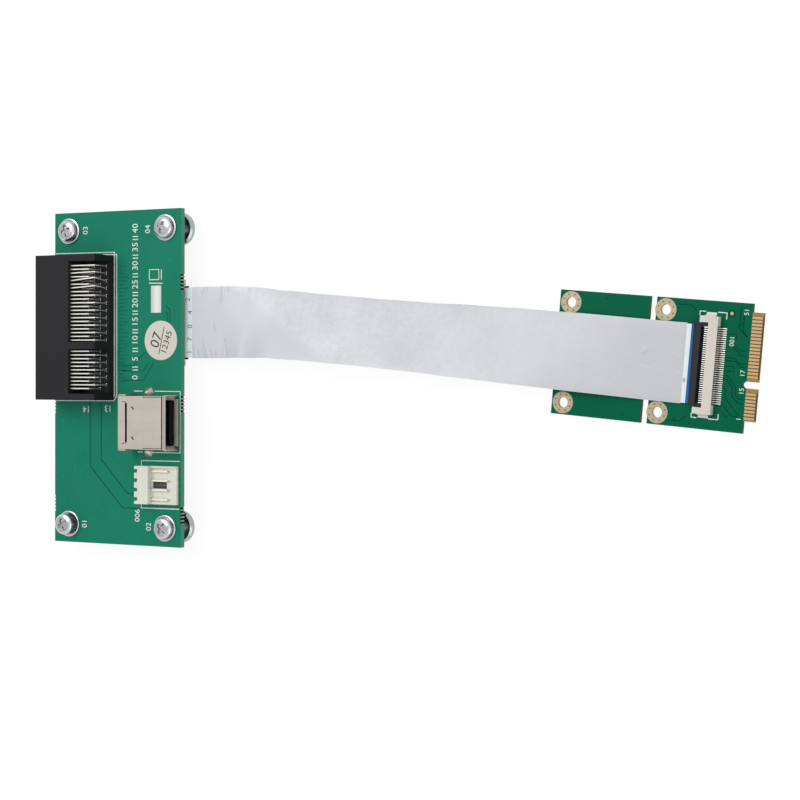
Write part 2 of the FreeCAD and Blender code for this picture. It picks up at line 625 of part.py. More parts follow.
def slot_tail_guide():
    """Plate between the slot's end walls that holds the contact tails at their pitch."""
    body = new_body("slot_tail_guide_blank", seat_on_board, blank=True)
    plate = new_sketch(body, "XY_Plane", BOARD_TOP)
    rectangle(plate, f"{BLOCK_BACK} + guide_clear", SLOT_BACK, f"{SLOT_RIGHT} + slot_wall + guide_clear",
              f"{SLOT_LEFT} - slot_wall - guide_clear")
    pad(body, plate, "guide_thick")
    half_x = size("contact_thick") / 2 + size("contact_slit")
    half_y = size("contact_width") / 2 + size("contact_slit")
    section = [(-half_x, -half_y), (half_x, -half_y), (half_x, half_y), (-half_x, half_y)]
    pierce_for_tails("slot_tail_guide", body, section)


def formed_strip(path, shifts, width, thick):
    """A flat strip of metal formed along a path in XZ, with a sideways shift at each point."""
    sections = []
    for k, (x, z) in enumerate(path):
        before = path[max(k - 1, 0)]
        after = path[min(k + 1, len(path) - 1)]
        steps = [Vector(x - before[0], 0, z - before[1]), Vector(after[0] - x, 0, after[1] - z)]
        steps = [step.normalize() for step in steps if step.Length > 0]
        along = steps[0] + steps[-1]
        along.normalize()
        across = Vector(-along.z, 0, along.x) * (thick / 2 / along.dot(steps[0]))
        middle = Vector(x, shifts[k], z)
        sections.append((middle + across, middle - across))
    if max(shifts) == min(shifts):
        rim = [section[0] for section in sections] + [section[1] for section in reversed(sections)]
        face = Part.Face(Part.makePolygon(rim + rim[:1]))
        return face.translated(Vector(0, -width / 2, 0)).extrude(Vector(0, width, 0))
    half = Vector(0, width / 2, 0)
    frames = [[upper - half, upper + half, lower + half, lower - half] for upper, lower in sections]
    return Part.makeLoft([Part.makePolygon(frame + frame[:1]) for frame in frames], True, True)


# Contacts near the left end whose corners were pushed sideways, and by how much
BENT_CONTACTS = {2: 0.25, 4: 0.7, 6: 0.5}


def slot_contacts(label, side, first_row, bent):
    """One row of formed spring contacts: tip, spring, run, bend and tail, in turn long and short."""
    front = -size("board_width") / 2
    board_top = size("foot_height") + size("board_thick")
    axis = board_top + size("slot_axis")
    run = axis + size("contact_upper_run") if side > 0 else axis - size("contact_lower_run")
    back = size("slot_depth") - size("board_width") / 2
    foot = size("foot_height") - size("tail_reach")
    nip = axis + side * size("mouth_height") * 0.32
    tip = axis + side * size("mouth_height") * 0.68
    guide = board_top + size("guide_thick")
    first = size("slot_shift") + size("slot_length") / 2 - size("contact_inset")
    long_group = int(size("contact_long_group"))
    count = long_group + int(size("contact_short_group"))
    solids = []
    for number in range(count):
        across_key = (size("contact_key_pitch") - size("contact_pitch")) if number >= long_group else 0
        place = first - number * size("contact_pitch") - across_key
        tail = back - size("tail_inset") - (first_row + number % 2) * size("tail_pitch")
        spring = front + size("cavity_depth") - size("contact_thick")
        path = [(front + size("mouth_lip") * 1.8, tip), (front + size("cavity_depth") * 0.45, nip),
                (spring, run)]
        push = bent.get(number, 0)
        if push:
            path += [(front + size("slot_cover") + size("contact_thick"), run), (tail, run),
                     (tail, guide + size("contact_thick")), (tail, foot)]
            shifts = [place] * 4 + [place + push] + [place] * 2
        else:
            path += [(tail, run), (tail, foot)]
            shifts = [place] * 5
        solids.append(formed_strip(path, shifts, size("contact_width"), size("contact_thick")))
    new_feature(label, Part.makeCompound(solids), seat_on_board)


def usb_shell():
    """Folded sheet shell with flared lips, a slit across its roof, rear flaps and two solder legs."""
    body = new_body("usb_shell", seat_on_board)
    left = "(port_shift + port_width / 2)"
    right = "(port_shift - port_width / 2)"
    sleeve = new_sketch(body, "YZ_Plane", PORT_BACK)
    rectangle(sleeve, right, left, PORT_FLOOR, PORT_ROOF)
    pad(body, sleeve, "port_length - port_flare_depth")
    for kind, side, inset in (("Additive", "0", "0"), ("Subtractive", "port_side", "port_wall")):
        if inset != "0":
            hollow = new_sketch(body, "YZ_Plane", f"{PORT_BACK} + port_wall")
            rectangle(hollow, f"{right} + {side}", f"{left} - {side}",
                      f"{PORT_FLOOR} + {inset}", f"{PORT_ROOF} - {inset}")
            pocket(body, hollow, "port_length - port_flare_depth - port_wall")
        near = new_sketch(body, "YZ_Plane", PORT_NECK)
        rectangle(near, f"{right} + {side}", f"{left} - {side}", f"{PORT_FLOOR} + {inset}",
                  f"{PORT_ROOF} - {inset}")
        far = new_sketch(body, "YZ_Plane", PORT_FRONT)
        rectangle(far, f"{right} + {inset} - port_flare", f"{left} - {inset} + port_flare",
                  f"{PORT_FLOOR} + {inset} - port_flare", f"{PORT_ROOF} - {inset} + port_flare")
        loft(body, kind, near, far)
    notches = new_sketch(body, "YZ_Plane", PORT_NECK)
    for low_y, high_y in ((f"{right} - 2 * port_flare", f"{right} + port_corner"),
                          (f"{left} - port_corner", f"{left} + 2 * port_flare")):
        rectangle(notches, low_y, high_y, f"{PORT_FLOOR} - 2 * port_flare", f"{PORT_FLOOR} + port_wall")
    pocket(body, notches, "port_flare_depth")
    slit = new_sketch(body, "XY_Plane", f"{PORT_ROOF} - 2 * port_wall")
    rectangle(slit, f"{PORT_BACK} + port_slit_inset", f"{PORT_BACK} + port_slit_inset + port_slit_width",
              "port_shift - port_slit_length / 2", "port_shift + port_slit_length / 2")
    pocket(body, slit, "3 * port_wall")
    dimples = new_sketch(body, "XY_Plane", f"{PORT_ROOF} - port_dimple_depth")
    for sign in ("+", "-"):
        middle = f"port_shift {sign} port_dimple_spacing / 2"
        rectangle(dimples, f"{PORT_BACK} + port_dimple_inset - port_dimple / 2",
                  f"{PORT_BACK} + port_dimple_inset + port_dimple / 2",
                  f"{middle} - port_dimple / 2", f"{middle} + port_dimple / 2")
    pocket(body, dimples, "port_wall")
    underside = new_sketch(body, "XY_Plane", f"{PORT_FLOOR} - port_wall")
    rectangle(underside, f"{PORT_BACK} + port_wall", f"{PORT_BACK} + port_block", f"{right} + port_side",
              f"{left} - port_side")
    pocket(body, underside, "2 * port_wall")
    flaps = new_sketch(body, "XY_Plane", PORT_FLOOR)
    for low_y, high_y in ((f"{right} - port_flap", f"{right} + port_wall"),
                          (f"{left} - port_wall", f"{left} + port_flap")):
        rectangle(flaps, PORT_BACK, f"{PORT_BACK} + port_flap_length", low_y, high_y)
    pad(body, flaps, "port_height - port_wall")
    legs = new_sketch(body, "XY_Plane", "foot_height - tail_reach")
    middle = f"{PORT_BACK} + port_leg_inset"
    for low_y, high_y in ((right, f"{right} + port_wall"), (f"{left} - port_wall", left)):
        rectangle(legs, f"{middle} - port_leg_width / 2", f"{middle} + port_leg_width / 2", low_y, high_y)
    pad(body, legs, "tail_reach + board_thick + port_standoff + port_wall")


def usb_insulator():
    """Insulator: a block at the back of the shell, channelled for the contacts, and the tongue."""
    body = new_body("usb_insulator", seat_on_board)
    rear = f"{PORT_BACK} + port_wall + port_clear"
    low = f"{PORT_FLOOR} + port_wall + port_clear"
    block = new_sketch(body, "XZ_Plane", "0 - port_shift")
    rectangle(block, rear, f"{PORT_BACK} + port_block", low, f"{PORT_ROOF} - port_wall - port_clear")
    pad(body, block, "port_width - 2 * port_side - 2 * port_clear", both_ways=True)
    tongue = new_sketch(body, "XZ_Plane", "0 - port_shift")
    rectangle(tongue, f"{PORT_BACK} + port_block / 2", f"{PORT_FRONT} - port_tongue_setback", TONGUE_BASE,
              TONGUE_TOP)
    pad(body, tongue, "port_tongue_width", both_ways=True)
    leg = f"{PORT_BACK} + port_blade_inset"
    reach = "(port_blade_thick / 2 + port_clear)"
    half = "(port_blade_width / 2 + port_clear)"
    upright = (f"{low} - port_clear", f"{leg} + {reach}", f"{TONGUE_TOP} - {low} + port_clear")
    level = (TONGUE_TOP, f"{PORT_BACK} + port_block + port_clear", "port_blade_thick + port_clear")
    for base, front, depth in (upright, level):
        channels = new_sketch(body, "XY_Plane", base)
        for place in ("port_blade_inner / 2", "port_blade_outer / 2"):
            for sign in ("+", "-"):
                middle = f"port_shift {sign} {place}"
                rectangle(channels, f"{leg} - {reach}", front, f"{middle} - {half}", f"{middle} + {half}")
        pocket(body, channels, depth)


def usb_contacts():
    """Four contact blades on the tongue, bent down into the board behind it."""
    body = new_body("usb_contacts", seat_on_board)
    leg = f"{PORT_BACK} + port_blade_inset"
    tip = f"{PORT_FRONT} - port_tongue_setback - port_blade_width"
    foot = "foot_height - tail_reach"
    corners = [(tip, TONGUE_TOP), (tip, f"{TONGUE_TOP} + port_blade_thick"),
               (f"{leg} - port_blade_thick / 2", f"{TONGUE_TOP} + port_blade_thick"),
               (f"{leg} - port_blade_thick / 2", foot), (f"{leg} + port_blade_thick / 2", foot),
               (f"{leg} + port_blade_thick / 2", TONGUE_TOP)]
    for spacing in ("port_blade_inner", "port_blade_outer"):
        blade = new_sketch(body, "XZ_Plane", f"{spacing} / 2 - port_shift")
        outline(blade, corners)
        repeat(body, pad(body, blade, "port_blade_width", both_ways=True), "Y_Axis", spacing, "2")


def power_header_body():
    """Moulded power header: notched rear block, open tray with low rims and a latch window."""
    body = new_body("power_header_body", seat_on_board)
    right = "(header_shift - header_width / 2)"
    left = "(header_shift + header_width / 2)"
    block = new_sketch(body, "XY_Plane", BOARD_TOP)
    rectangle(block, HEADER_BACK, HEADER_FRONT, right, left)
    pad(body, block, "header_height")
    for inset, floor in (("0", "header_floor + header_rim"), ("header_rim_width", "header_floor")):
        tray = new_sketch(body, "XY_Plane", f"{BOARD_TOP} + {floor}")
        rectangle(tray, HEADER_STEP, f"{HEADER_FRONT} + header_rim_width",
                  f"{right} - header_rim_width + 2 * {inset}", f"{left} + header_rim_width - 2 * {inset}")
        pocket(body, tray, "header_height")
    notch = new_sketch(body, "XY_Plane", BOARD_TOP)
    first = f"(header_shift - {PIN_SPAN} / 2)"
    rectangle(notch, f"{HEADER_BACK} - header_notch_depth", f"{HEADER_BACK} + header_notch_depth",
              f"{first} - header_notch_width / 2", f"{first} + header_notch_width / 2")
    repeat(body, pocket(body, notch, "header_height"), "Y_Axis", PIN_SPAN, "pin_count")
    bore = new_sketch(body, "YZ_Plane", HEADER_BACK)
    half = "(pin_size / 2 + pin_clear)"
    rectangle(bore, f"{first} - {half}", f"{first} + {half}", f"{BOARD_TOP} + pin_rise - {half}",
              f"{BOARD_TOP} + pin_rise + {half}")
    repeat(body, pocket(body, bore, "header_block"), "Y_Axis", PIN_SPAN, "pin_count")
    window = new_sketch(body, "XY_Plane", BOARD_TOP)
    rectangle(window, f"{HEADER_STEP} + header_window_inset",
              f"{HEADER_STEP} + header_window_inset + header_window_length",
              "header_shift - header_window_width / 2", "header_shift + header_window_width / 2")
    body.Tip = pocket(body, window, "header_floor")


def power_header_pins():
    """Square pins that leave the rear block, and bend down through its notches into the board."""
    body = new_body("power_header_pins", seat_on_board)
    middle = f"{BOARD_TOP} + pin_rise"
    tip = f"{HEADER_STEP} + pin_reach"
    foot = "foot_height - tail_reach"
    pin = new_sketch(body, "XZ_Plane", f"{PIN_SPAN} / 2 - header_shift")
    outline(pin, [(f"{tip} - pin_size / 2", f"{middle} + pin_size / 2"), (tip, f"{middle} + pin_size / 6"),
                  (tip, f"{middle} - pin_size / 6"), (f"{tip} - pin_size / 2", f"{middle} - pin_size / 2"),
                  (f"{PIN_LEG} + pin_size / 2", f"{middle} - pin_size / 2"),
                  (f"{PIN_LEG} + pin_size / 2", foot), (f"{PIN_LEG} - pin_size / 2", foot),
                  (f"{PIN_LEG} - pin_size / 2", f"{middle} + pin_size / 2")])
    repeat(body, pad(body, pin, "pin_size", both_ways=True), "Y_Axis", PIN_SPAN, "pin_count")


def socket_housing(label, seat):
    """Cable socket housing: floor, slit rear bar and two end posts with pivot holes."""
    body = new_body(label, seat)
    section = new_sketch(body, "XZ_Plane")
    outline(section, [("socket_floor_front", "0"), ("socket_depth", "0"), ("socket_depth", "socket_height"),
                      (BAR_FRONT, "socket_height"), (BAR_FRONT, CAVITY_TOP),
                      ("socket_depth - socket_back", CAVITY_TOP),
                      ("socket_depth - socket_back", "socket_floor"),
                      ("socket_floor_front", "socket_floor")])
    pad(body, section, "socket_width - socket_post", both_ways=True)
    posts = new_sketch(body, "XY_Plane")
    for low, high in (("0 - socket_width / 2", f"0 - {POST_FACE}"), (POST_FACE, "socket_width / 2")):
        rectangle(posts, "socket_post_front", "socket_depth", low, high)
    pad(body, posts, "socket_height - blade_foot_thick")
    pivots = new_sketch(body, "XZ_Plane")
    circle(pivots, "lever_axis_back", "lever_axis_rise", "lever_rod_dia + 2 * pivot_clear")
    pocket(body, pivots, f"2 * ({POST_FACE} + lever_pivot)", both_ways=True)
    slit = new_sketch(body, "XZ_Plane", f"{BLADE_SPAN} / 2")
    rectangle(slit, "blade_front - blade_arm", "socket_depth + socket_back", "0 - socket_floor",
              f"{ARM_TOP} + blade_slit")
    repeat(body, pocket(body, slit, "blade_width + 2 * blade_slit", both_ways=True), "Y_Axis", BLADE_SPAN,
           "blade_count")


def socket_contacts(label, seat):
    """Cable contacts: a fork round the cable end and a solder foot behind the socket."""
    body = new_body(label, seat)
    root = "(socket_depth - blade_slit)"
    back = "(socket_depth - socket_back + blade_slit)"
    low = "(socket_floor - blade_slit)"
    fork = new_sketch(body, "XZ_Plane", f"{BLADE_SPAN} / 2")
    outline(fork, [("socket_depth + blade_foot", "0"), ("socket_depth + blade_foot", "blade_foot_thick"),
                   (root, "blade_foot_thick"), (root, ARM_TOP), (f"{BAR_FRONT} - blade_tip", ARM_TOP),
                   (f"{BAR_FRONT} - blade_tip", f"{ARM_TOP} - blade_arm"), (back, f"{ARM_TOP} - blade_arm"),
                   (back, low), ("blade_front", low), ("blade_front", f"{low} - blade_arm"),
                   (f"{back} + blade_arm", f"{low} - blade_arm"), (f"{back} + blade_arm", "0")])
    repeat(body, pad(body, fork, "blade_width", both_ways=True), "Y_Axis", BLADE_SPAN, "blade_count")


def socket_lever(label, seat):
    """Flip lever: a flap, a slotted comb for the contact tips, a rod and two pivot pins."""
    body = new_body(label, seat)
    flap = new_sketch(body, "XZ_Plane")
    outline(flap, [("0", "lever_top - lever_thick / 2"), ("0", "lever_top - lever_thick"),
                   ("lever_depth", "lever_tooth_base"), ("lever_axis_back", "lever_tooth_base"),
                   ("lever_axis_back", "lever_tooth_top"), ("lever_depth", "lever_tooth_top"),
                   ("lever_depth - lever_thick / 4", "lever_top"), ("lever_thick / 4", "lever_top")])
    pad(body, flap, f"2 * {LEVER_END}", both_ways=True)
    slot = new_sketch(body, "XZ_Plane", f"{BLADE_SPAN} / 2")
    rectangle(slot, "lever_depth", "lever_axis_back + lever_rod_dia", "0 - lever_top", "2 * lever_top")
    repeat(body, pocket(body, slot, "lever_slot", both_ways=True), "Y_Axis", BLADE_SPAN, "blade_count")
    rod = new_sketch(body, "XZ_Plane")
    facets(rod, "lever_axis_back", "lever_axis_rise", "lever_rod_dia")
    pad(body, rod, f"2 * {LEVER_END}", both_ways=True)
    for offset in (f"{LEVER_END}", f"0 - {POST_FACE} - lever_pivot + pivot_clear"):
        pivot = new_sketch(body, "XZ_Plane", offset)
        circle(pivot, "lever_axis_back", "lever_axis_rise", "lever_rod_dia")
        body.Tip = pad(body, pivot, "lever_gap + lever_pivot - pivot_clear")


def socket_tabs(label, seat):
    """Hold-down tabs: an upright against each end of the socket and a soldered foot."""
    body = new_body(label, seat)
    for sign in ("", "0 - "):
        face = "socket_width / 2"
        tab = new_sketch(body, "YZ_Plane", "tab_back")
        outline(tab, [(f"{sign}({face})", "0"), (f"{sign}({face} + tab_reach)", "0"),
                      (f"{sign}({face} + tab_reach)", "tab_thick"),
                      (f"{sign}({face} + tab_thick)", "tab_thick"),
                      (f"{sign}({face} + tab_thick)", "tab_rise"), (f"{sign}({face})", "tab_rise")])
        pad(body, tab, "tab_length")


def cable_end(label, seat, bare):
    """Bare end of the flat cable, from the shield film into the socket."""
    body = new_body(label, seat)
    strip = new_sketch(body, "XY_Plane", "socket_floor")
    rectangle(strip, f"0 - {bare}", "cable_insert", "0 - cable_width / 2", "cable_width / 2")
    pad(body, strip, "cable_thick")


def cable_stiffener(label, seat):
    """Stiffener film bonded to the cable end on the lever's side."""
    body = new_body(label, seat)
    strip = new_sketch(body, "XY_Plane", "socket_floor + cable_thick")
    rectangle(strip, "0 - stiffener_out", "cable_insert", "0 - cable_width / 2", "cable_width / 2")
    pad(body, strip, "stiffener_thick")


# Route of the shielded cable between its two bare ends, from the board centre on the table
CABLE_ROUTE = [(40, 14.72, 5.75), (58, 13.4, 5.9), (78, 11.6, 5.35), (100, 9.65, 4.35), (122, 7.55, 3.2),
               (142, 5.62, 2.05)]


def shielded_cable():
    """Shielded stretch of the flat cable: straight runs joined by wide tangent arcs, lying level."""
    turn = math.radians(size("card_turn"))
    rise = size("socket_floor") + size("cable_thick") / 2
    start = Vector(size("board_width") / 2 + size("board_bare"), size("board_socket_shift"),
                   size("foot_height") - rise)
    along = size("card_socket_front") - size("card_bare")
    finish = Vector(size("card_gap") + along * math.cos(turn), size("card_offset") + along * math.sin(turn),
                    size("card_lift") + size("card_thick") + rise)
    level = Vector(math.cos(turn), math.sin(turn), 0)
    out = start + Vector(1, 0, 0) * (CABLE_ROUTE[0][0] - start.x) * 0.45
    back = finish - level * (finish.x - CABLE_ROUTE[-1][0]) * 0.45
    points = [start, out] + [Vector(*place) for place in CABLE_ROUTE] + [back, finish]
    edges = []
    at = points[0]
    length = 0
    for before, corner, after in zip(points, points[1:], points[2:]):
        arrive = corner - before
        leave = after - corner
        turn_angle = arrive.getAngle(leave)
        reach = 0.45 * min(arrive.Length, leave.Length)
        arrive.normalize()
        leave.normalize()
        radius = reach / math.tan(turn_angle / 2)
        entry = corner - arrive * reach
        leaving = corner + leave * reach
        inward = leave - arrive
        inward.normalize()
        middle = corner + inward * (radius / math.cos(turn_angle / 2) - radius)
        edges += [Part.LineSegment(at, entry).toShape(), Part.Arc(entry, middle, leaving).toShape()]
        length += (entry - at).Length + radius * turn_angle
        at = leaving
        print(f"cable arc radius {radius:.0f} mm")
    edges.append(Part.LineSegment(at, points[-1]).toShape())
    length += (points[-1] - at).Length
    path = Part.Wire(edges)
    half = Vector(0, size("shield_width") / 2, 0)
    skin = Vector(0, 0, size("shield_thick") / 2)
    corners = [start - half - skin, start + half - skin, start + half + skin, start - half + skin]
    sweep = Part.BRepOffsetAPI.MakePipeShell(path)
    sweep.setBiNormalMode(Vector(0, 0, 1))
    sweep.add(Part.makePolygon(corners + corners[:1]))
    sweep.build()
    sweep.makeSolid()
    cable = sweep.shape()
    section = size("shield_width") * size("shield_thick")
    share = cable.Volume / section / length
    print(f"shielded cable {length:.1f} mm, volume over section times length {share:.4f}")
    ends = size("board_bare") + size("card_bare") + 2 * size("cable_insert")
    print(f"whole cable {length + ends:.1f} mm")
    new_feature("cable_shield", cable, seat_on_board)


def mini_card():
    """Mini card: shouldered outline with a key notch, four holes and a breakaway slot from each side."""
    body = new_body("mini_card", seat_on_card)
    half = "card_width / 2"
    board = new_sketch(body, "XY_Plane", "card_lift")
    outline(board, [("0 - card_back", f"0 - {half}"), ("card_shoulder", f"0 - {half}"),
                    ("card_shoulder", "0 - tongue_right"), ("card_edge", "0 - tongue_right"),
                    ("card_edge", "tongue_left"), ("card_shoulder", "tongue_left"), ("card_shoulder", half),
                    ("0 - card_back", half)])
    plate = pad(body, board, "card_thick")
    doc.recompute()
    edge = size("card_edge")
    rims = [f"Edge{k}" for k, line in enumerate(plate.Shape.Edges, start=1)
            if abs(line.BoundBox.XMin - edge) + abs(line.BoundBox.XMax - edge) < 0.01
            and line.BoundBox.YLength > 1]
    bevel(body, plate, rims, "tongue_bevel")
    holes = new_sketch(body, "XY_Plane", "card_lift")
    for sign_x in ("", "0 - "):
        for sign_y in ("", "0 - "):
            circle(holes, f"{sign_x}card_hole_length / 2", f"{sign_y}card_hole_width / 2", "card_bore")
    circle(holes, "card_edge - key_depth + key_width / 2", "key_shift", "key_width")
    pocket(body, holes, "card_thick")
    cuts = new_sketch(body, "XY_Plane", "card_lift")
    rectangle(cuts, "card_edge - key_depth + key_width / 2", "card_edge + key_width",
              "key_shift - key_width / 2", "key_shift + key_width / 2")
    for low, high in ((f"0 - {half} - split_width", "0 - split_bridge / 2"),
                      ("split_bridge / 2", f"{half} + split_width")):
        rectangle(cuts, "split_start", "split_start + split_width", low, high)
    body.Tip = pocket(body, cuts, "card_thick")


def edge_fingers(label, rise):
    """Plated edge fingers in two groups, either side of the key notch."""
    body = new_body(label, seat_on_card)
    inset = "card_edge - tongue_bevel"
    groups = [("finger_first", "finger_long_group"), ("finger_second", "finger_short_group")]
    for first, count in groups:
        finger = new_sketch(body, "XY_Plane", rise)
        last = f"({first} - ({count} - 1) * finger_pitch)"
        rectangle(finger, f"{inset} - finger_length", inset, f"{last} - finger_width / 2",
                  f"{last} + finger_width / 2")
        repeat(body, pad(body, finger, "finger_thick"), "Y_Axis", f"({count} - 1) * finger_pitch", count)


def round_label():
    """Thin round inspection label on the slot board."""
    body = new_body("round_label", seat_on_board)
    disc = new_sketch(body, "XY_Plane", BOARD_TOP)
    circle(disc, "label_x", "label_y", "label_dia")
    pad(body, disc, "label_thick")


main_board()
corner_feet()
corner_washers()
corner_screws()
slot_housing()
slot_tail_guide()
slot_contacts("slot_upper_contacts", 1, 0, BENT_CONTACTS)
slot_contacts("slot_lower_contacts", -1, 2, {})
usb_shell()
usb_insulator()
usb_contacts()
power_header_body()
power_header_pins()
round_label()
ENDS = (("board", seat_board_socket, "board_bare"), ("card", seat_card_socket, "card_bare"))
for owner, seat, bare in ENDS:
    socket_housing(f"{owner}_socket_housing", seat)
    socket_contacts(f"{owner}_socket_contacts", seat)
    socket_lever(f"{owner}_socket_lever", seat)
    socket_tabs(f"{owner}_socket_tabs", seat)
    cable_end(f"cable_{owner}_end", seat, bare)
    cable_stiffener(f"cable_{owner}_stiffener", seat)
shielded_cable()
mini_card()
edge_fingers("edge_fingers_top", CARD_TOP)
edge_fingers("edge_fingers_bottom", "card_lift - finger_thick")

doc.recompute()
faults = []
for item in doc.Objects:
    if {"Invalid", "Error"} & set(item.State):
        faults.append(f"{item.Name} {item.State}")
    if item.isDerivedFrom("PartDesign::Pocket") and item.Shape.Volume >= item.BaseFeature.Shape.Volume:
        faults.append(f"{item.Name} cuts nothing")
for node in nodes:
    if node.Shape.isNull() or not node.Shape.isValid() or not node.Shape.Solids:
        faults.append(f"{node.Label} has no sound shape")
if faults:
    raise RuntimeError("; ".join(faults))

os.makedirs("parts", exist_ok=True)
for node in nodes:
    node.Shape.exportStep(f"parts/{node.Label}.step")
    print(f"{node.Label}: {len(node.Shape.Solids)} solids, {node.Shape.Volume:.2f} mm3")
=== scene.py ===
"""Dresses the slot adapter: finishes, print, solder, screws, the flat cable and a white studio."""

import math

import bmesh
import bpy
from mathutils import Matrix, Vector


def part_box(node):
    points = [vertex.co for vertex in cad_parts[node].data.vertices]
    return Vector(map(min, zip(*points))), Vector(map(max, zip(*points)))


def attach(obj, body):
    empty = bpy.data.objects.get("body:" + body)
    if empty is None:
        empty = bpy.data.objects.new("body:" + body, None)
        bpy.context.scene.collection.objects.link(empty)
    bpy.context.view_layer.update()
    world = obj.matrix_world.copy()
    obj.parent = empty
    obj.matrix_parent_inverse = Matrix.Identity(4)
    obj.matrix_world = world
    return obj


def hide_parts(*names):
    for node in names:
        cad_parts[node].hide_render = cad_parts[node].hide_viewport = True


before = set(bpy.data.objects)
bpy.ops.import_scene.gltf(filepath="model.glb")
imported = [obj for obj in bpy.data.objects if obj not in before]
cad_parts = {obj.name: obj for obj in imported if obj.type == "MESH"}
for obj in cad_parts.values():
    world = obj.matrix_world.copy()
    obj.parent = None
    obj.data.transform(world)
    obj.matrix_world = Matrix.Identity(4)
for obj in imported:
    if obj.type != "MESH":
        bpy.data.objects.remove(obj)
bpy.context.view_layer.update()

bl_info = {
    "name": "Slot adapter dressing",
    "version": (1, 0, 0),
    "blender": (4, 5, 0),
    "location": "View3D > Sidebar > Adapter",
    "description": "Builds the finishes and fine pieces of a mini card to slot adapter",
    "category": "Object",
}

# Places on the boards are in millimetres; heights, sizes and profiles are in metres
MM = 0.001
ROOT = "adapter"

# The slot board's own centre and faces, in the row frame
BOARD_LOW, BOARD_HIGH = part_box("main_board")
BOARD_X = (BOARD_LOW.x + BOARD_HIGH.x) / 2
BOARD_HALF = (BOARD_HIGH - BOARD_LOW) / 2
BOARD_TOP = BOARD_HIGH.z
BOARD_BASE = BOARD_LOW.z
# The mini card lies turned a little about Z; its places are given from the middle of its four holes
CARD_PLACE = Vector((BOARD_X + 0.1411, 0.00554, 0))
CARD_TURN = math.radians(-4.97)
CARD_BASE, CARD_TOP = (corner.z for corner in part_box("mini_card"))
# Where a finish is centred on either board, and its turn about Z
BOARD_PATTERN = ((BOARD_X, 0, 0), 0.0)
CARD_PATTERN = (CARD_PLACE, CARD_TURN)

# Torn perforations where the board was broken from its panel: which face (X, then Y) and place, in metres
TORN_EDGES = [(1, 0, 0.02547), (1, 0, -0.00693), (1, 0, -0.03645), (-1, 0, -0.00756), (-1, 0, -0.03447),
              (0, 1, -0.01021), (0, 1, 0.01021), (0, -1, -0.01021), (0, -1, 0.01021)]
TORN_HALF = 0.0023
TORN_PITCH = 0.00095
TORN_RADIUS = 0.00032
# Colour of the torn fibre on the cut edges, and the painted shade inside the torn half holes
TORN_FIBRE = (0.42, 0.46, 0.42)
TORN_PAINTED_SHADE = (0.012, 0.011, 0.009)
# Bare laminate of the card from here on along it, and the reach of its two groups of edge fingers across
BARE_PAST = 0.0332
FINGER_GROUPS = [(-0.0118, -0.0055), (-0.0022, 0.0121)]
# Glass cloth of the boards in radians for each metre, and the spacing of the cable's conductors
CLOTH = 5200
CONDUCTOR_PITCH = 0.0005

# How far flat trim stands over what carries it
TRACE_RISE = 0.000004
SHADE_RISE = 0.000006
LABEL_RISE = 0.000008
INK_RISE = 0.00001
FILM_INK_RISE = 0.000012
TRIM_THICK = 0.00003
# Half the thickness of a printed number
NUMBER_DEPTH = 0.000012


def on_board(x, y, z=None):
    """A place in millimetres from the slot board's centre, at a height in metres."""
    return Vector((BOARD_X + x * MM, y * MM, BOARD_TOP if z is None else z))


def on_card(along, across, z=None):
    """A place in millimetres from the card's hole centre, at a height in metres."""
    spot = Matrix.Rotation(CARD_TURN, 3, "Z") @ Vector((along * MM, across * MM, 0))
    return CARD_PLACE + spot + Vector((0, 0, CARD_TOP if z is None else z))


def spots_on(carrier, places, height=None):
    """Places in millimetres on a board, where carrier is on_board or on_card."""
    return [carrier(x, y, height) for x, y in places]


def lines_on(carrier, paths, height):
    """Paths in millimetres laid level on a board."""
    return [spots_on(carrier, path, height) for path in paths]


def clamp(value):
    """The nearest value from 0 to 1."""
    return min(1.0, max(0.0, value))


def shade_of(colour, factor):
    """A darker or lighter shade of a colour."""
    return tuple(channel * factor for channel in colour[:3])


def tint(name, description, *channels):
    """A colour that a user may change."""
    return bpy.props.FloatVectorProperty(
        name=name, description=description, subtype="COLOR", default=channels)


def amount(name, description, default, unit="LENGTH"):
    """A size or a strength that a user may change."""
    return bpy.props.FloatProperty(name=name, description=description, unit=unit, default=default)


class BoardLook(bpy.types.PropertyGroup):
    """Colours and line widths of the two circuit boards."""

    mask: tint("Solder mask", "Slot board's lacquer", 0.008, 0.21, 0.124)
    card_mask: tint("Card mask", "Mini card's lacquer", 0.001, 0.124, 0.062)
    edge: tint("Board edge", "Slot board's cut edge", 0.085, 0.3, 0.205)
    laminate: tint("Laminate", "Card's bare glass-fibre", 0.4, 0.27, 0.075)
    ink: tint("Print", "White legend ink", 0.86, 0.9, 0.87)
    line_width: amount("Legend line", "Width of the printed lines", 0.00028)
    trace_width: amount("Trace", "Width of a copper trace", 0.0003)


class MetalLook(bpy.types.PropertyGroup):
    """Colours of the metal pieces."""

    nickel: tint("Shell", "Nickel sheet of the port", 0.42, 0.385, 0.345)
    zinc: tint("Screws", "Zinc-plated screws and washers", 0.58, 0.59, 0.6)
    turned: tint("Feet", "Bright turned feet", 0.4, 0.43, 0.43)
    gold: tint("Fingers", "Thin gold on the card edge", 0.4, 0.27, 0.155)
    pad: tint("Ring pads", "Plated rings of the card", 0.33, 0.285, 0.195)
    brass: tint("Pins", "Pale plated brass", 0.7, 0.66, 0.55)
    tin: tint("Contacts", "Tinned contacts and solder", 0.68, 0.66, 0.62)


class MouldingLook(bpy.types.PropertyGroup):
    """Colours of the moulded pieces and the label."""

    black: tint("Black moulding", "Slot, lever and tongue", 0.014, 0.014, 0.016)
    nylon: tint("White nylon", "Power header", 0.75, 0.75, 0.67)
    ivory: tint("Ivory moulding", "Cable sockets", 0.74, 0.69, 0.63)
    label: tint("Label", "Round paper label", 0.69, 0.65, 0.59)


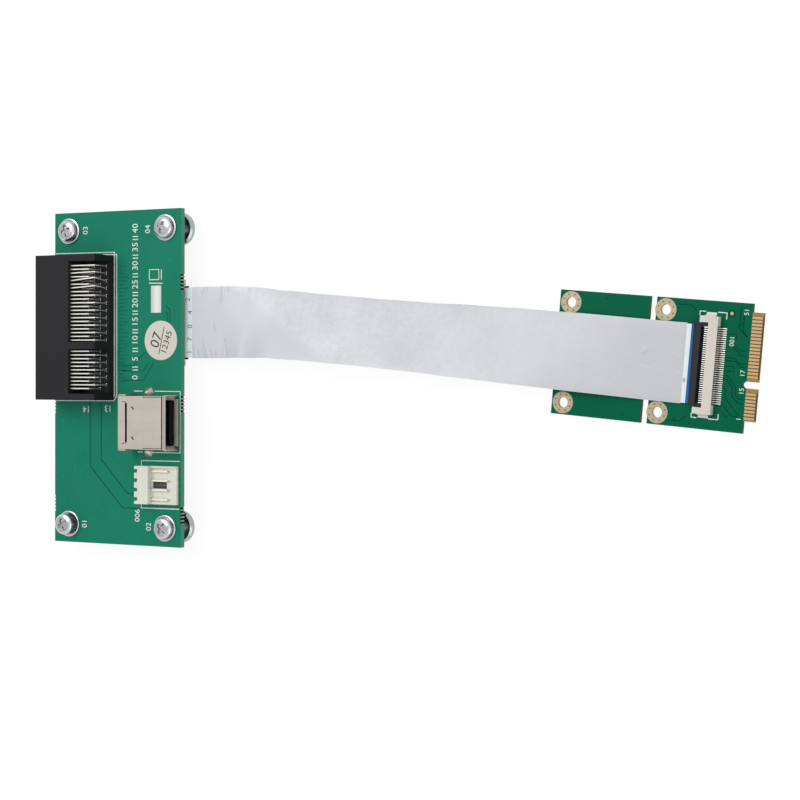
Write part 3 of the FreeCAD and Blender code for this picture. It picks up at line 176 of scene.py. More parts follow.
class CableLook(bpy.types.PropertyGroup):
    """Sizes and colours of the flat cable."""

    width: amount("Width", "Across the shield film", 0.0189)
    thick: amount("Thickness", "Shielded cable", 0.0003)
    foil: tint("Shield film", "Satin silver film", 0.645, 0.66, 0.685)
    white: tint("Bare end", "White cable film", 0.75, 0.8, 0.8)
    blue: tint("Stiffener", "Blue end film", 0.012, 0.165, 0.44)


class StudioLook(bpy.types.PropertyGroup):
    """Light and backdrop."""

    backdrop: tint("Backdrop", "Colour of the floor", 0.95, 0.95, 0.95)
    ambient: amount("Ambient", "Strength of the even light", 0.5, "NONE")
    key: amount("Key", "Power of the large soft lamp", 3.0, "POWER")


class Field:
    """A value that changes over a surface. Arithmetic on it adds Math nodes."""

    def __init__(self, finish, socket):
        self.finish = finish
        self.socket = socket

    def maths(self, operation, *values, clamped=False):
        """A Math node on the values given."""
        settings = {"operation": operation, "use_clamp": clamped}
        node = self.finish.node("ShaderNodeMath", settings, dict(enumerate(values)))
        return Field(self.finish, node.outputs[0])

    def __add__(self, other):
        return self.maths("ADD", self, other)

    __radd__ = __add__

    def __sub__(self, other):
        return self.maths("SUBTRACT", self, other)

    def __rsub__(self, other):
        return self.maths("SUBTRACT", other, self)

    def __mul__(self, other):
        return self.maths("MULTIPLY", self, other)

    def __abs__(self):
        return self.maths("ABSOLUTE", self)

    def __lt__(self, other):
        return self.maths("LESS_THAN", self, other)

    def __gt__(self, other):
        return self.maths("GREATER_THAN", self, other)

    def sine(self):
        return self.maths("SINE", self)

    def ramp(self, low, high):
        """0 at low, 1 at high, straight between."""
        past = self - low
        return past.maths("DIVIDE", past, high - low, clamped=True)


class Tree:
    """A node tree that is written in code."""

    def __init__(self, tree):
        self.tree = tree

    def node(self, kind, settings=None, sockets=None):
        """Add a node: its settings first, then the values or links of its sockets."""
        node = self.tree.nodes.new(kind)
        for name, value in (settings or {}).items():
            setattr(node, name, value)
        for name, value in (sockets or {}).items():
            self.join(node.inputs[name], value)
        return node

    def join(self, socket, value):
        """Link a field or an output to a socket, or set the socket's value."""
        if isinstance(value, Field):
            value = value.socket
        if isinstance(value, bpy.types.NodeSocket):
            self.tree.links.new(value, socket)
        else:
            socket.default_value = value


class Finish(Tree):
    """One procedural material round a Principled shader."""

    def __init__(self, name, colour, roughness, metallic=0.0, gloss=0.5):
        self.material = bpy.data.materials.new(name)
        self.material.use_nodes = True
        self.material.diffuse_color = (*colour, 1.0)
        super().__init__(self.material.node_tree)
        self.shader = self.tree.nodes["Principled BSDF"]
        self.drive("Base Color", (*colour, 1.0))
        self.drive("Roughness", roughness)
        self.drive("Metallic", metallic)
        self.drive("Specular IOR Level", gloss)

    def drive(self, socket, value):
        """Feed one of the shader's own sockets."""
        self.join(self.shader.inputs[socket], value)

    def place(self, offset=(0, 0, 0), turn=0.0, scale=(1, 1, 1)):
        """Object coordinates, moved, turned about Z and scaled."""
        source = self.node("ShaderNodeTexCoord").outputs["Object"]
        return self.node("ShaderNodeMapping", {"vector_type": "TEXTURE"}, {
            "Vector": source, "Location": tuple(offset), "Rotation": (0, 0, turn),
            "Scale": tuple(1 / value for value in scale)}).outputs[0]

    def axes(self, vector):
        """X, Y and Z of a vector as fields."""
        split = self.node("ShaderNodeSeparateXYZ", sockets={"Vector": vector})
        return [Field(self, output) for output in split.outputs]

    def attribute(self, name):
        """A number that the piece's own points hold."""
        return Field(self, self.node("ShaderNodeAttribute", {"attribute_name": name}).outputs["Fac"])

    def noise(self, vector, scale, detail, roughness=0.5):
        grain = self.node("ShaderNodeTexNoise", sockets={
            "Vector": vector, "Scale": scale, "Detail": detail, "Roughness": roughness})
        return Field(self, grain.outputs["Fac"])

    def mix(self, factor, first, second):
        """Blend two colours."""
        first, second = ((*end, 1.0) if isinstance(end, tuple) else end for end in (first, second))
        return self.node("ShaderNodeMix", {"data_type": "RGBA"}, {0: factor, 6: first, 7: second}).outputs[2]

    def shades(self, factor, colour, low, high):
        """A colour that goes from one shade of itself to another."""
        return self.mix(factor, shade_of(colour, low), shade_of(colour, high))

    def bump(self, height, distance, strength):
        relief = self.node("ShaderNodeBump", sockets={
            "Height": height, "Distance": distance, "Strength": strength})
        self.drive("Normal", relief.outputs[0])

    def upright(self):
        """1 on faces that look up or down, 0 on side faces."""
        normal = self.node("ShaderNodeNewGeometry").outputs["Normal"]
        return abs(self.axes(normal)[2]) > 0.5


finishes = {}


def mask_finish(name, colour, edge, pattern, gloss=0.1, bare_past=None, combs=(), torn=()):
    """Green lacquer over glass cloth; bare laminate on cut edges and past bare_past, darker in its combs;
    painted shade in the torn half holes.
    """
    finish = Finish(name, colour, 0.36, gloss=gloss)
    local = finish.place(*pattern)
    along, across = finish.axes(local)[:2]
    broad = finish.noise(local, 90, 3)
    fine = finish.noise(local, 1400, 2)
    cloth = (along * CLOTH).sine() * (across * CLOTH).sine()
    lacquer = finish.shades((broad - 0.5) * 0.9 + (fine - 0.5) * 0.35 + 0.5, colour, 0.9, 1.12)
    bare = finish.shades(fine * 0.8, edge, 0.75, 1.2)
    covered = finish.upright()
    if bare_past is not None:
        bare = finish.mix(covered, shade_of(edge, 0.4), bare)
        for low, high in combs:
            bare = finish.mix(covered * (across > low) * (across < high), bare, shade_of(edge, 0.35))
        covered = covered * (along < bare_past)
    skin = finish.mix(covered, bare, lacquer)
    for side, end, middle in torn:
        face, run = (along * side, across) if side else (across * end, along)
        inset = face - (BOARD_HALF.x if side else BOARD_HALF.y)
        offset = run - middle
        stretch = abs(offset) < TORN_HALF
        offset = offset.maths("WRAP", offset, TORN_PITCH / 2, -TORN_PITCH / 2)
        # Painted shade inside the torn half holes
        hole_shade = (inset * inset + offset * offset) < (1.0 - covered * 0.7) * TORN_RADIUS ** 2
        skin = finish.mix(stretch * (abs(inset) < TORN_RADIUS) * (1.0 - covered), skin, TORN_FIBRE)
        skin = finish.mix(hole_shade * stretch, skin, TORN_PAINTED_SHADE)
    finish.drive("Base Color", skin)
    finish.drive("Roughness", 0.62 - covered * 0.28 + (broad - 0.5) * 0.12)
    finish.bump(cloth * 0.4 + fine * 0.8 + broad, 0.00002, 0.25)
    return finish.material


def moulding_finish(name, colour, roughness, grain=2600.0, relief=0.000012, gloss=0.16):
    """Moulded plastic: fine spark texture, faint flow marks."""
    finish = Finish(name, colour, roughness, gloss=gloss)
    spark = finish.noise(finish.place(), grain, 3, 0.6)
    flow = finish.noise(finish.place(scale=(1, 0.35, 1)), 160, 3)
    tone = (flow - 0.5) * 0.8 + (spark - 0.5) * 0.5 + 0.5
    finish.drive("Base Color", finish.shades(tone, colour, 0.86, 1.16))
    finish.drive("Roughness", roughness + (flow - 0.5) * 0.14 + (spark - 0.5) * 0.1)
    finish.bump(spark, relief, 0.5)
    return finish.material


def metal_finish(name, colour, roughness, drawn=(1, 1, 1), marks=0.12, relief=0.000004, metallic=1.0,
                 painted_height_shade=None, hollow=False):
    """Plated metal: drawn lines, clouding, handling marks; painted shade past a height, and painted shade
    where the piece's points hold it.
    """
    finish = Finish(name, colour, roughness, metallic)
    local = finish.place()
    lines = finish.noise(finish.place(scale=drawn), 900, 3, 0.55)
    cloud = finish.noise(local, 260, 3)
    plate = finish.shades(cloud * 0.6 + lines * 0.4, colour, 0.88, 1.1)
    # Painted shade past a height
    if painted_height_shade:
        bright, dark, factor = painted_height_shade
        plate = finish.mix(finish.axes(local)[2].ramp(bright, dark), plate, shade_of(colour, factor))
    # Painted shade where the piece's points hold it
    if hollow:
        plate = finish.mix(finish.attribute("hollow") * (0.15 + cloud * 1.1), plate, shade_of(colour, 0.12))
    finish.drive("Base Color", plate)
    finish.drive("Roughness", roughness + (cloud - 0.5) * marks * 2 + (lines - 0.5) * marks)
    finish.bump(lines + cloud * 0.5, relief, 0.5)
    return finish.material


def shield_finish(name, colour, roughness, metallic):
    """Shield film: smooth up to the slanting bend and mottled past it, with painted shade before the bend, in
    the creases and towards the card.
    """
    finish = Finish(name, colour, roughness, metallic)
    film = finish.node("ShaderNodeUVMap", {"uv_map": "film"}).outputs[0]
    along, across = finish.axes(film)[:2]
    stretched = finish.node("ShaderNodeMapping", sockets={"Vector": film, "Scale": (260, 60, 1)}).outputs[0]
    crinkle = finish.noise(stretched, 1.0, 4, 0.62)
    speck = finish.noise(film, 2100, 3, 0.6)
    mottle = finish.noise(film, 650, 3, 0.65)
    cloud = finish.noise(film, 75, 2)
    ribs = (across * (math.tau / CONDUCTOR_PITCH)).sine()
    bent = (along + across * 1.8).ramp(0.0255, 0.03)
    flat = along.ramp(0.085, 0.115)
    patches = ((mottle - 0.5) * (1.4 - flat) + (cloud - 0.5) * 1.7) * bent
    skin = finish.shades((crinkle - 0.5) * 1.1 + (speck - 0.5) + patches + 0.5, colour, 0.9, 1.08)
    # Painted shade: darker before the slanting bend
    skin = finish.mix((1.0 - bent) * 0.8, skin, shade_of(colour, 0.9))
    # Painted shade: darker towards the card
    skin = finish.mix(along.ramp(0.05, 0.13) * 0.85, skin, shade_of(colour, 0.81))
    # Painted shade in the creases
    finish.drive("Base Color", finish.mix(finish.attribute("crease") * 0.3, skin, shade_of(colour, 0.35)))
    finish.drive("Roughness", roughness + (crinkle - 0.5) * 0.16 + (speck - 0.5) * 0.16)
    relief = (crinkle * 0.9 + speck * 0.4 + mottle * 0.5) * (0.4 + bent * 0.8 - flat * 0.6)
    finish.bump(relief + ribs * 0.02, 0.00018, 0.8)
    return finish.material


def film_finish(name, colour, roughness=0.42, gloss=0.3):
    """Film on a flat strip: soft clouding and conductor ribs along X."""
    finish = Finish(name, colour, roughness, gloss=gloss)
    local = finish.place()
    cloud = finish.noise(local, 420, 3)
    ribs = (finish.axes(local)[1] * (math.tau / CONDUCTOR_PITCH)).sine()
    finish.drive("Base Color", finish.shades(cloud, colour, 0.92, 1.06))
    finish.drive("Roughness", roughness + (cloud - 0.5) * 0.15)
    finish.bump(ribs * 0.3 + cloud, 0.00003, 0.4)
    return finish.material


def ink_finish(name, colour):
    """Screen-printed ink: slightly chalky, with pinholes."""
    finish = Finish(name, colour, 0.55)
    chalk = finish.noise(finish.place(), 3200, 3)
    finish.drive("Base Color", finish.shades(chalk, colour, 0.88, 1.06))
    finish.drive("Roughness", 0.5 + chalk * 0.2)
    finish.bump(chalk, 0.00001, 0.4)
    return finish.material


def make_finishes(scene):
    """All the finishes, by name."""
    boards, metals = scene.adapter_boards, scene.adapter_metals
    mouldings, cable = scene.adapter_mouldings, scene.adapter_cable
    lengthwise = (0.1, 1, 1)

    def etched(name, lacquer, shade, edge_shade, pattern=BOARD_PATTERN, gloss=0.05):
        """Copper under the lacquer, in shades of it."""
        return mask_finish(name, shade_of(lacquer, shade), shade_of(lacquer, edge_shade), pattern, gloss)

    finishes.update(
        board=mask_finish("green_board", boards.mask, boards.edge, BOARD_PATTERN, torn=TORN_EDGES),
        card=mask_finish("green_card", boards.card_mask, boards.laminate, CARD_PATTERN, 0.04, BARE_PAST,
                         FINGER_GROUPS),
        trace=etched("lacquered_trace", boards.mask, 0.45, 0.4),
        faint_trace=etched("faint_trace", boards.mask, 0.86, 0.8),
        label_trace=etched("label_trace", boards.mask, 0.66, 0.6),
        via=etched("lacquered_via", boards.mask, 1.3, 1.0),
        card_trace=etched("lacquered_card_trace", boards.card_mask, 0.5, 0.4, CARD_PATTERN, 0.04),
        ink=ink_finish("legend_ink", boards.ink),
        mark=ink_finish("label_mark", (0.03, 0.03, 0.032)),
        ring_dot=ink_finish("pad_via", (0.22, 0.07, 0.04)),
        cable_print=ink_finish("cable_print", (0.05, 0.12, 0.23)),
        nickel=metal_finish("nickel_sheet", metals.nickel, 0.42, drawn=(0.04, 1, 1), marks=0.08),
        # Washers and screw heads carry painted shade, and the heads a painted dark reflection, where their
        # points hold it
        zinc=metal_finish("zinc_plate", metals.zinc, 0.2, marks=0.1, hollow=True),
        screw=metal_finish("screw_head", metals.zinc, 0.2, marks=0.16, relief=0.00003, hollow=True),
        # Feet darker above their flanges: painted shade and painted reflection of the board's dark underside
        turned=metal_finish("turned_steel", metals.turned, 0.18, (1, 1, 12), 0.06,
                            painted_height_shade=(0.00201, 0.00203, 0.55)),
        gold=metal_finish("finger_gold", metals.gold, 0.5),
        pad=metal_finish("ring_pad", metals.pad, 0.5),
        # Port contacts darkened as painted shade inside the port's mouth
        port_contact=metal_finish("port_contact", shade_of(metals.gold, 0.3), 0.5),
        # Slot contacts darker lower down: painted shade in the slot
        contact=metal_finish("slot_contact", shade_of(metals.tin, 1.1), 0.5, lengthwise, 0.1, metallic=0.55,
                             painted_height_shade=(0.0138, 0.0124, 0.5)),
        brass=metal_finish("header_pin", metals.brass, 0.45, lengthwise, 0.1),
        tin=metal_finish("tinned_contact", metals.tin, 0.3, lengthwise),
        tab=metal_finish("soldered_tab", shade_of(metals.tin, 0.72), 0.5, marks=0.14, relief=0.00001),
        solder=metal_finish("solder", shade_of(metals.tin, 0.95), 0.26, marks=0.16, relief=0.00001),
        black=moulding_finish("black_moulding", mouldings.black, 0.5),
        lever=moulding_finish("lever_moulding", shade_of(mouldings.black, 1.8), 0.5),
        # The tongue's black, also used for the lever teeth and for the painted shade at the card socket
        tongue=moulding_finish("port_tongue", shade_of(mouldings.black, 0.35), 0.6, gloss=0.05),
        # Dark lines and dots on the port's roof: painted shade
        seam=moulding_finish("sheet_seam", (0.02, 0.013, 0.01), 0.7, gloss=0.05),
        # Dark finish of the latch window's painted shade and of the pin tips, which are partly painted shade
        slate=moulding_finish("window_shade", (0.075, 0.09, 0.088), 0.6),
        nylon=moulding_finish("white_nylon", mouldings.nylon, 0.46, 1800, 0.000008),
        ivory=moulding_finish("ivory_moulding", mouldings.ivory, 0.5, 2200, 0.000008),
        paper=moulding_finish("label_paper", mouldings.label, 0.62, 3600, 0.000006),
        foil=shield_finish("shield_film", cable.foil, 0.5, 0.14),
        white=film_finish("white_film", cable.white),
        # The card's white end: the same white film, painted lighter as painted light
        bright=film_finish("bright_film", shade_of(cable.white, 1.16)),
        blue=film_finish("blue_film", cable.blue, 0.38, 0.12),
    )


def put(name, data):
    """A new object at the origin, in the scene."""
    obj = bpy.data.objects.new(name, data)
    bpy.context.scene.collection.objects.link(obj)
    return obj


def baked(obj, name):
    """The finished mesh of an object, which is then removed with its modifiers."""
    graph = bpy.context.evaluated_depsgraph_get()
    mesh = bpy.data.meshes.new_from_object(obj.evaluated_get(graph))
    mesh.name = name
    bpy.data.objects.remove(obj)
    return mesh


def coat(mesh, finish):
    """Give a mesh its finish."""
    mesh.materials.clear()
    mesh.materials.append(finishes[finish])


def dress(**nodes):
    """Give CAD nodes their finishes."""
    for node, finish in nodes.items():
        coat(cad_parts[node].data, finish)


def settle(obj, slot, body=ROOT, *nodes):
    """Tie a finished piece to its body, in place of CAD nodes if any are named; slot is not used."""
    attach(obj, body)
    if nodes:
        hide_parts(*nodes)


def new_piece(mesh, finish, slot, body=ROOT, *nodes):
    """A finished piece that holds a mesh and has its name."""
    coat(mesh, finish)
    piece = put(mesh.name, mesh)
    settle(piece, slot, body, *nodes)
    return piece


def mesh_of(bm, name, smooth=None):
    """Turn a bmesh into a mesh, smooth below an angle in degrees."""
    mesh = bpy.data.meshes.new(name)
    bm.to_mesh(mesh)
    bm.free()
    if smooth is not None:
        mesh.shade_smooth()
        mesh.set_sharp_from_angle(angle=math.radians(smooth))
    return mesh


def eased_copy(node, finish, slot, width, shortest):
    """A copy of a CAD node with its edges over a length rounded, shown in its place."""
    bm = bmesh.new()
    bm.from_mesh(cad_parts[node].data)
    bmesh.ops.remove_doubles(bm, verts=bm.verts, dist=2e-7)
    bmesh.ops.dissolve_limit(bm, angle_limit=math.radians(0.5), verts=bm.verts, edges=bm.edges)
    bmesh.ops.connect_verts_concave(bm, faces=bm.faces)
    weight = bm.edges.layers.float.new("bevel_weight_edge")
    for edge in bm.edges:
        if len(edge.link_faces) == 2 and edge.calc_length() > shortest:
            edge[weight] = float(edge.calc_face_angle() > math.radians(40))
    rough = put(f"{node}_sharp", mesh_of(bm, f"{node}_sharp", 8))
    ease = rough.modifiers.new("Ease", "BEVEL")
    ease.width = width
    ease.segments = 2
    ease.limit_method = "WEIGHT"
    level = rough.modifiers.new("Level", "WEIGHTED_NORMAL")
    level.keep_sharp = True
    level.weight = 100
    new_piece(baked(rough, f"{node}_eased"), finish, slot, ROOT, node)


class Growth(Tree):
    """A Geometry Nodes tree with named inputs."""

    def __init__(self, name, **inputs):
        super().__init__(bpy.data.node_groups.new(name, "GeometryNodeTree"))
        for label, kind in {"Geometry": "Geometry", **inputs, "Material": "Material"}.items():
            self.tree.interface.new_socket(label, in_out="INPUT", socket_type=f"NodeSocket{kind}")
        self.tree.interface.new_socket("Geometry", in_out="OUTPUT", socket_type="NodeSocketGeometry")
        self.start = self.node("NodeGroupInput").outputs

    def close(self, geometry):
        """End in real geometry with its material."""
        real = self.node("GeometryNodeRealizeInstances", sockets={"Geometry": geometry})
        paint = self.node("GeometryNodeSetMaterial", sockets={
            "Geometry": real.outputs[0], "Material": self.start["Material"]})
        self.node("NodeGroupOutput", sockets={"Geometry": paint.outputs[0]})

    def grow(self, name, seed_mesh, finish, **values):
        """Run the tree on a mesh and keep the result as a plain mesh object."""
        seed = put(f"{name}_seed", seed_mesh)
        modifier = seed.modifiers.new("Growth", "NODES")
        modifier.node_group = self.tree
        values["Material"] = finishes[finish]
        for item in self.tree.interface.items_tree:
            if item.in_out == "INPUT" and item.name in values:
                modifier[item.identifier] = values[item.name]
        return put(name, baked(seed, name))


growths = {}


def make_growths():
    """Trees for printed lines and for repeated pieces."""
    line = growths["line"] = Growth("printed_lines", Width="Float", Thickness="Float")
    curve = line.node("GeometryNodeMeshToCurve", sockets={"Mesh": line.start["Geometry"]})
    section = line.node("GeometryNodeCurvePrimitiveQuadrilateral", {"mode": "RECTANGLE"}, {
        "Width": line.start["Width"], "Height": line.start["Thickness"]})
    level = line.node("GeometryNodeSetCurveNormal", {"mode": "Z_UP"}, {"Curve": curve.outputs[0]})
    strip = line.node("GeometryNodeCurveToMesh", sockets={
        "Curve": level.outputs[0], "Profile Curve": section.outputs[0], "Fill Caps": True})
    line.close(strip.outputs[0])

    crowd = growths["crowd"] = Growth("repeated_pieces", Piece="Object", Size="Float")
    shape = crowd.node("GeometryNodeObjectInfo", {"transform_space": "ORIGINAL"}, {
        "Object": crowd.start["Piece"]})
    turn = crowd.node("GeometryNodeInputNamedAttribute", {"data_type": "FLOAT_VECTOR"}, {"Name": "turn"})
    spots = crowd.node("GeometryNodeInstanceOnPoints", sockets={
        "Points": crowd.start["Geometry"], "Instance": shape.outputs["Geometry"],
        "Rotation": turn.outputs["Attribute"], "Scale": crowd.start["Size"]})
    crowd.close(spots.outputs[0])


def lines_piece(name, paths, finish, slot, width, thickness=TRIM_THICK, body=ROOT):
    """Printed or etched lines along the paths."""
    points = []
    edges = []
    for path in paths:
        edges += [(len(points) + k, len(points) + k + 1) for k in range(len(path) - 1)]
        points += [tuple(point) for point in path]
    mesh = bpy.data.meshes.new(f"{name}_paths")
    mesh.from_pydata(points, edges, [])
    settle(growths["line"].grow(name, mesh, finish, Width=width, Thickness=thickness), slot, body)


def crowd_piece(name, pattern, spots, finish, slot, turns=((0, 0, 0),), size=1.0, nodes=()):
    """The same small piece at many places, with its turns one after the other."""
    mesh = bpy.data.meshes.new(f"{name}_spots")
    mesh.from_pydata([tuple(spot) for spot in spots], [], [])
    attribute = mesh.attributes.new("turn", "FLOAT_VECTOR", "POINT")
    for k in range(len(spots)):
        attribute.data[k].vector = turns[k % len(turns)]
    master = put(f"{name}_master", pattern)
    piece = growths["crowd"].grow(name, mesh, finish, Piece=master, Size=size)
    bpy.data.objects.remove(master)
    piece.data.shade_smooth()
    piece.data.set_sharp_from_angle(angle=math.radians(40))
    settle(piece, slot, ROOT, *nodes)


def ring_of(bm, radius, height, count):
    """A level ring of points, or a single point where the radius is 0."""
    angles = [math.tau * k / count for k in range(count if radius else 1)]
    return [bm.verts.new((radius * math.cos(angle), radius * math.sin(angle), height)) for angle in angles]


def bridge(bm, rings):
    """Faces from each ring of points to the next."""
    for low, high in zip(rings, rings[1:]):
        count = max(len(low), len(high))
        for k in range(count):
            after = (k + 1) % count
            corners = [low[k % len(low)], low[after % len(low)], high[after % len(high)], high[k % len(high)]]
            bm.faces.new(list(dict.fromkeys(corners)))


def lathe(name, profile, segments):
    """A closed turned shape from (radius, height) pairs, bottom to top."""
    bm = bmesh.new()
    rings = [ring_of(bm, radius, height, segments) for radius, height in profile]
    bridge(bm, rings)
    bm.faces.new(rings[0][::-1])
    if len(rings[-1]) > 1:
        bm.faces.new(rings[-1])
    return mesh_of(bm, name, 40)


def hoop(name, profile, segments):
    """A turned shape with a hole through it, from (radius, height) pairs all round its section."""
    bm = bmesh.new()
    rings = [ring_of(bm, radius, height, segments) for radius, height in profile]
    bridge(bm, rings + rings[:1])
    bmesh.ops.recalc_face_normals(bm, faces=bm.faces)
    return mesh_of(bm, name, 35)


def label_text(words, size, spot, turn):
    """A printed number as a thin mesh, lying level at a spot."""
    curve = bpy.data.curves.new("number", "FONT")
    curve.body = words
    curve.size = size
    curve.extrude = NUMBER_DEPTH
    curve.align_x = "CENTER"
    curve.align_y = "CENTER"
    curve.resolution_u = 3
    mesh = baked(put("number", curve), "number")
    mesh.transform(Matrix.Translation(spot) @ Matrix.Rotation(turn, 4, "Z"))
    return mesh


def numbers_on(carrier, table, height, turn):
    """Printed numbers on a board, from their size and each one's text and place in millimetres."""
    size, rows = table
    return [label_text(text, size, carrier(x, y, height), turn) for text, x, y in rows]


def joined(name, meshes, finish, slot):
    """Several meshes as one piece."""
    bm = bmesh.new()
    for mesh in meshes:
        bm.from_mesh(mesh)
    new_piece(mesh_of(bm, name), finish, slot)


# Camera: focal length and sensor in millimetres, place, and turns in radians, one after the other
LENS = 85.97
SENSOR = 36
CAMERA_PLACE = (BOARD_X + 0.3126533, 0.0011989, 0.4249128)
CAMERA_TURNS = (("Z", 0.009), ("X", -0.0105), ("Y", 0.4959))
# The floor reaches this far on each side, and lies this far below the feet
FLOOR_HALF = 4
FLOOR_DROP = 0.00002
# Strength of the floor's own white where it is seen, and its share over the lit paper
FLOOR_GLOW = 1.045
FLOOR_PLAIN = 0.86
# Disc lamps: place, diameter and share of the key lamp's power
LAMPS = {"key": ((-0.25, 0.35, 0.75), 0.6, 1.0), "fill": ((0.55, -0.35, 0.6), 0.8, 0.45)}


def seen_or_mirrored(tree):
    """1 where a surface is seen directly, in a mirror or through glass, 0 where it only lights the object."""
    rays = tree.node("ShaderNodeLightPath").outputs
    seen = rays["Is Camera Ray"]
    for ray in ("Is Glossy Ray", "Is Transmission Ray"):
        seen = tree.node("ShaderNodeMath", {"operation": "MAXIMUM"}, {0: seen, 1: rays[ray]}).outputs[0]
    return seen


def whiten(tree, seen, lit, white, output):
    """Show a plain white shader where a surface is seen, and the lit one elsewhere."""
    blend = tree.node("ShaderNodeMixShader", sockets={0: seen, 1: lit.outputs[0], 2: white.outputs[0]})
    tree.join(tree.tree.nodes[output].inputs["Surface"], blend.outputs[0])


def add_camera(scene):
    """The camera, with the view that the photo has."""
    lens = bpy.data.cameras.new("camera")
    lens.lens = LENS
    lens.sensor_width = SENSOR
    lens.clip_end = 20
    scene.camera = put("camera", lens)
    view = Matrix.Translation(CAMERA_PLACE)
    for axis, angle in CAMERA_TURNS:
        view = view @ Matrix.Rotation(angle, 4, axis)
    scene.camera.matrix_world = view


def add_floor(look):
    """White paper under the object, just below its feet."""
    bm = bmesh.new()
    bmesh.ops.create_grid(bm, x_segments=1, y_segments=1, size=FLOOR_HALF)
    floor = put("floor", mesh_of(bm, "floor"))
    floor.location.z = -FLOOR_DROP
    paper = Finish("studio_paper", look.backdrop, 0.9)
    glow = paper.node("ShaderNodeEmission", sockets={"Strength": FLOOR_GLOW})
    seen = Field(paper, seen_or_mirrored(paper)) * FLOOR_PLAIN
    whiten(paper, seen, paper.shader, glow, "Material Output")
    floor.data.materials.append(paper.material)


def add_sky(scene, look):
    """Even light from all round, plain white where it is seen."""
    scene.world = bpy.data.worlds.new("studio")
    scene.world.use_nodes = True
    sky = Tree(scene.world.node_tree)
    even = sky.tree.nodes["Background"]
    sky.join(even.inputs["Color"], (1, 1, 1, 1))
    sky.join(even.inputs["Strength"], look.ambient)
    white = sky.node("ShaderNodeBackground", sockets={"Color": (1, 1, 1, 1), "Strength": 1})
    whiten(sky, seen_or_mirrored(sky), even, white, "World Output")


def add_lamps(look):
    """Soft disc lamps, each aimed at the origin."""
    for name, (place, size, share) in LAMPS.items():
        lamp = bpy.data.lights.new(name, "AREA")
        lamp.shape = "DISK"
        lamp.size = size
        lamp.energy = look.key * share
        aim = Vector(place).to_track_quat("Z", "Y").to_matrix().to_4x4()
        put(name, lamp).matrix_world = Matrix.Translation(place) @ aim


class ADAPTER_OT_stage(bpy.types.Operator):
    """White studio: floor, even light, two soft lamps and the camera"""

    bl_idname = "adapter.stage"
    bl_label = "Studio"

    def execute(self, context):
        scene = context.scene
        look = scene.adapter_studio
        add_camera(scene)
        add_floor(look)
        add_sky(scene, look)
        add_lamps(look)
        scene.view_settings.view_transform = "Standard"
        return {"FINISHED"}


# Route of the shielded stretch, in millimetres from the slot board's centre, as the solid's
CABLE_ROUTE = [(23.1, 14.7, 5.45), (30.6, 14.7, 5.45), (40, 14.72, 5.75), (58, 13.4, 5.9), (78, 11.6, 5.35),
               (100, 9.65, 4.35), (122, 7.55, 3.2), (142, 5.62, 2.05)]
# Where the route ends along the card, in millimetres, and over it, and how much of its last gap is level
CABLE_END = 17.85
CABLE_END_RISE = 0.00055
CABLE_LAST_RUN = 0.45
# How far the cable is turned about its own line: millimetres along X and degrees, right edge up
CABLE_TWIST = [(24, 0), (32, 2.5), (40, 10.5), (50, 21.5), (62, 24.6), (75, 25.4), (90, 23.8), (105, 17.6),
               (120, 11.8), (138, 3.0), (150, 0.4), (160, 0)]
# Creases pressed into the shield film: from and to, in millimetres along it and shares across
CREASES = [(2.96, 0.394, 3.94, 0.494), (4.4, 0.42, 4.9, 0.494), (8.9, 0.276, 9.0, 0.49),
           (11.0, 0.42, 11.1, 0.49), (11.8, -0.488, 10.4, -0.23), (7.2, -0.135, 6.9, -0.03),
           (4.9, -0.5, 3.4, -0.3), (4.1, -0.5, 3.1, -0.38), (2.4, -0.5, 1.8, -0.4),
           (6.5, -0.49, 6.0, -0.4), (0.7, -0.49, 0.3, -0.32), (7.7, -0.48, 7.6, -0.42)]
CREASE_DEPTH = 0.00007
CREASE_SPREAD = 0.0002
# Softer dents, with how far they stand out and their spread
DENTS = [(44.2, 0.05, 40.6, -0.33, 0.00003, 0.0016), (126.0, 0.085, 126.9, 0.115, 0.00007, 0.0004),
         (125.8, 0.135, 126.4, 0.105, 0.00006, 0.0004), (17.2, 0.49, 17.6, 0.42, 0.00007, 0.0004),
         (28.0, 0.49, 28.2, 0.42, 0.00006, 0.0004), (46.8, 0.49, 47.0, 0.45, 0.00005, 0.0004),
         (75.0, 0.49, 75.1, 0.42, 0.00005, 0.0004), (95.0, 0.49, 95.1, 0.38, 0.00005, 0.0004),
         (49.0, -0.02, 47.0, -0.4, 0.00003, 0.0012)]
# Ripples: radians for each metre along and for the width, their start, waist across and height
RIPPLES = [(410, 2.1, 0.0, 0.0, 0.00003), (171, -5.3, 1.2, 0.0, 0.00005), (930, 11.0, 0.0, 7.5, 0.000012)]
# The ripples fade in and out between these places along X, in millimetres
RIPPLES_IN = (26, 40)
RIPPLES_OUT = (146, 158)
# Faces across each side of the band
CABLE_STEPS = 54


def nearness(along, across, width, crease, spread):
    """How near a place on the film is to a crease: 1 on it, falling to 0 over its spread."""
    start = Vector((crease[0] * MM, crease[1] * width))
    run = Vector((crease[2] * MM, crease[3] * width)) - start
    place = Vector((along, across)) - start
    away = (place - run * clamp(place.dot(run) / run.length_squared)).length / spread
    return math.exp(-away * away) if away < 3 else 0.0


def twist_at(x):
    """Turn of the cable at a place along X, in radians."""
    x = min(CABLE_TWIST[-1][0], max(CABLE_TWIST[0][0], x))
    for (low, first), (high, second) in zip(CABLE_TWIST, CABLE_TWIST[1:]):
        if low <= x <= high:
            share = (x - low) / (high - low)
            return math.radians(first + (second - first) * share * share * (3 - 2 * share))


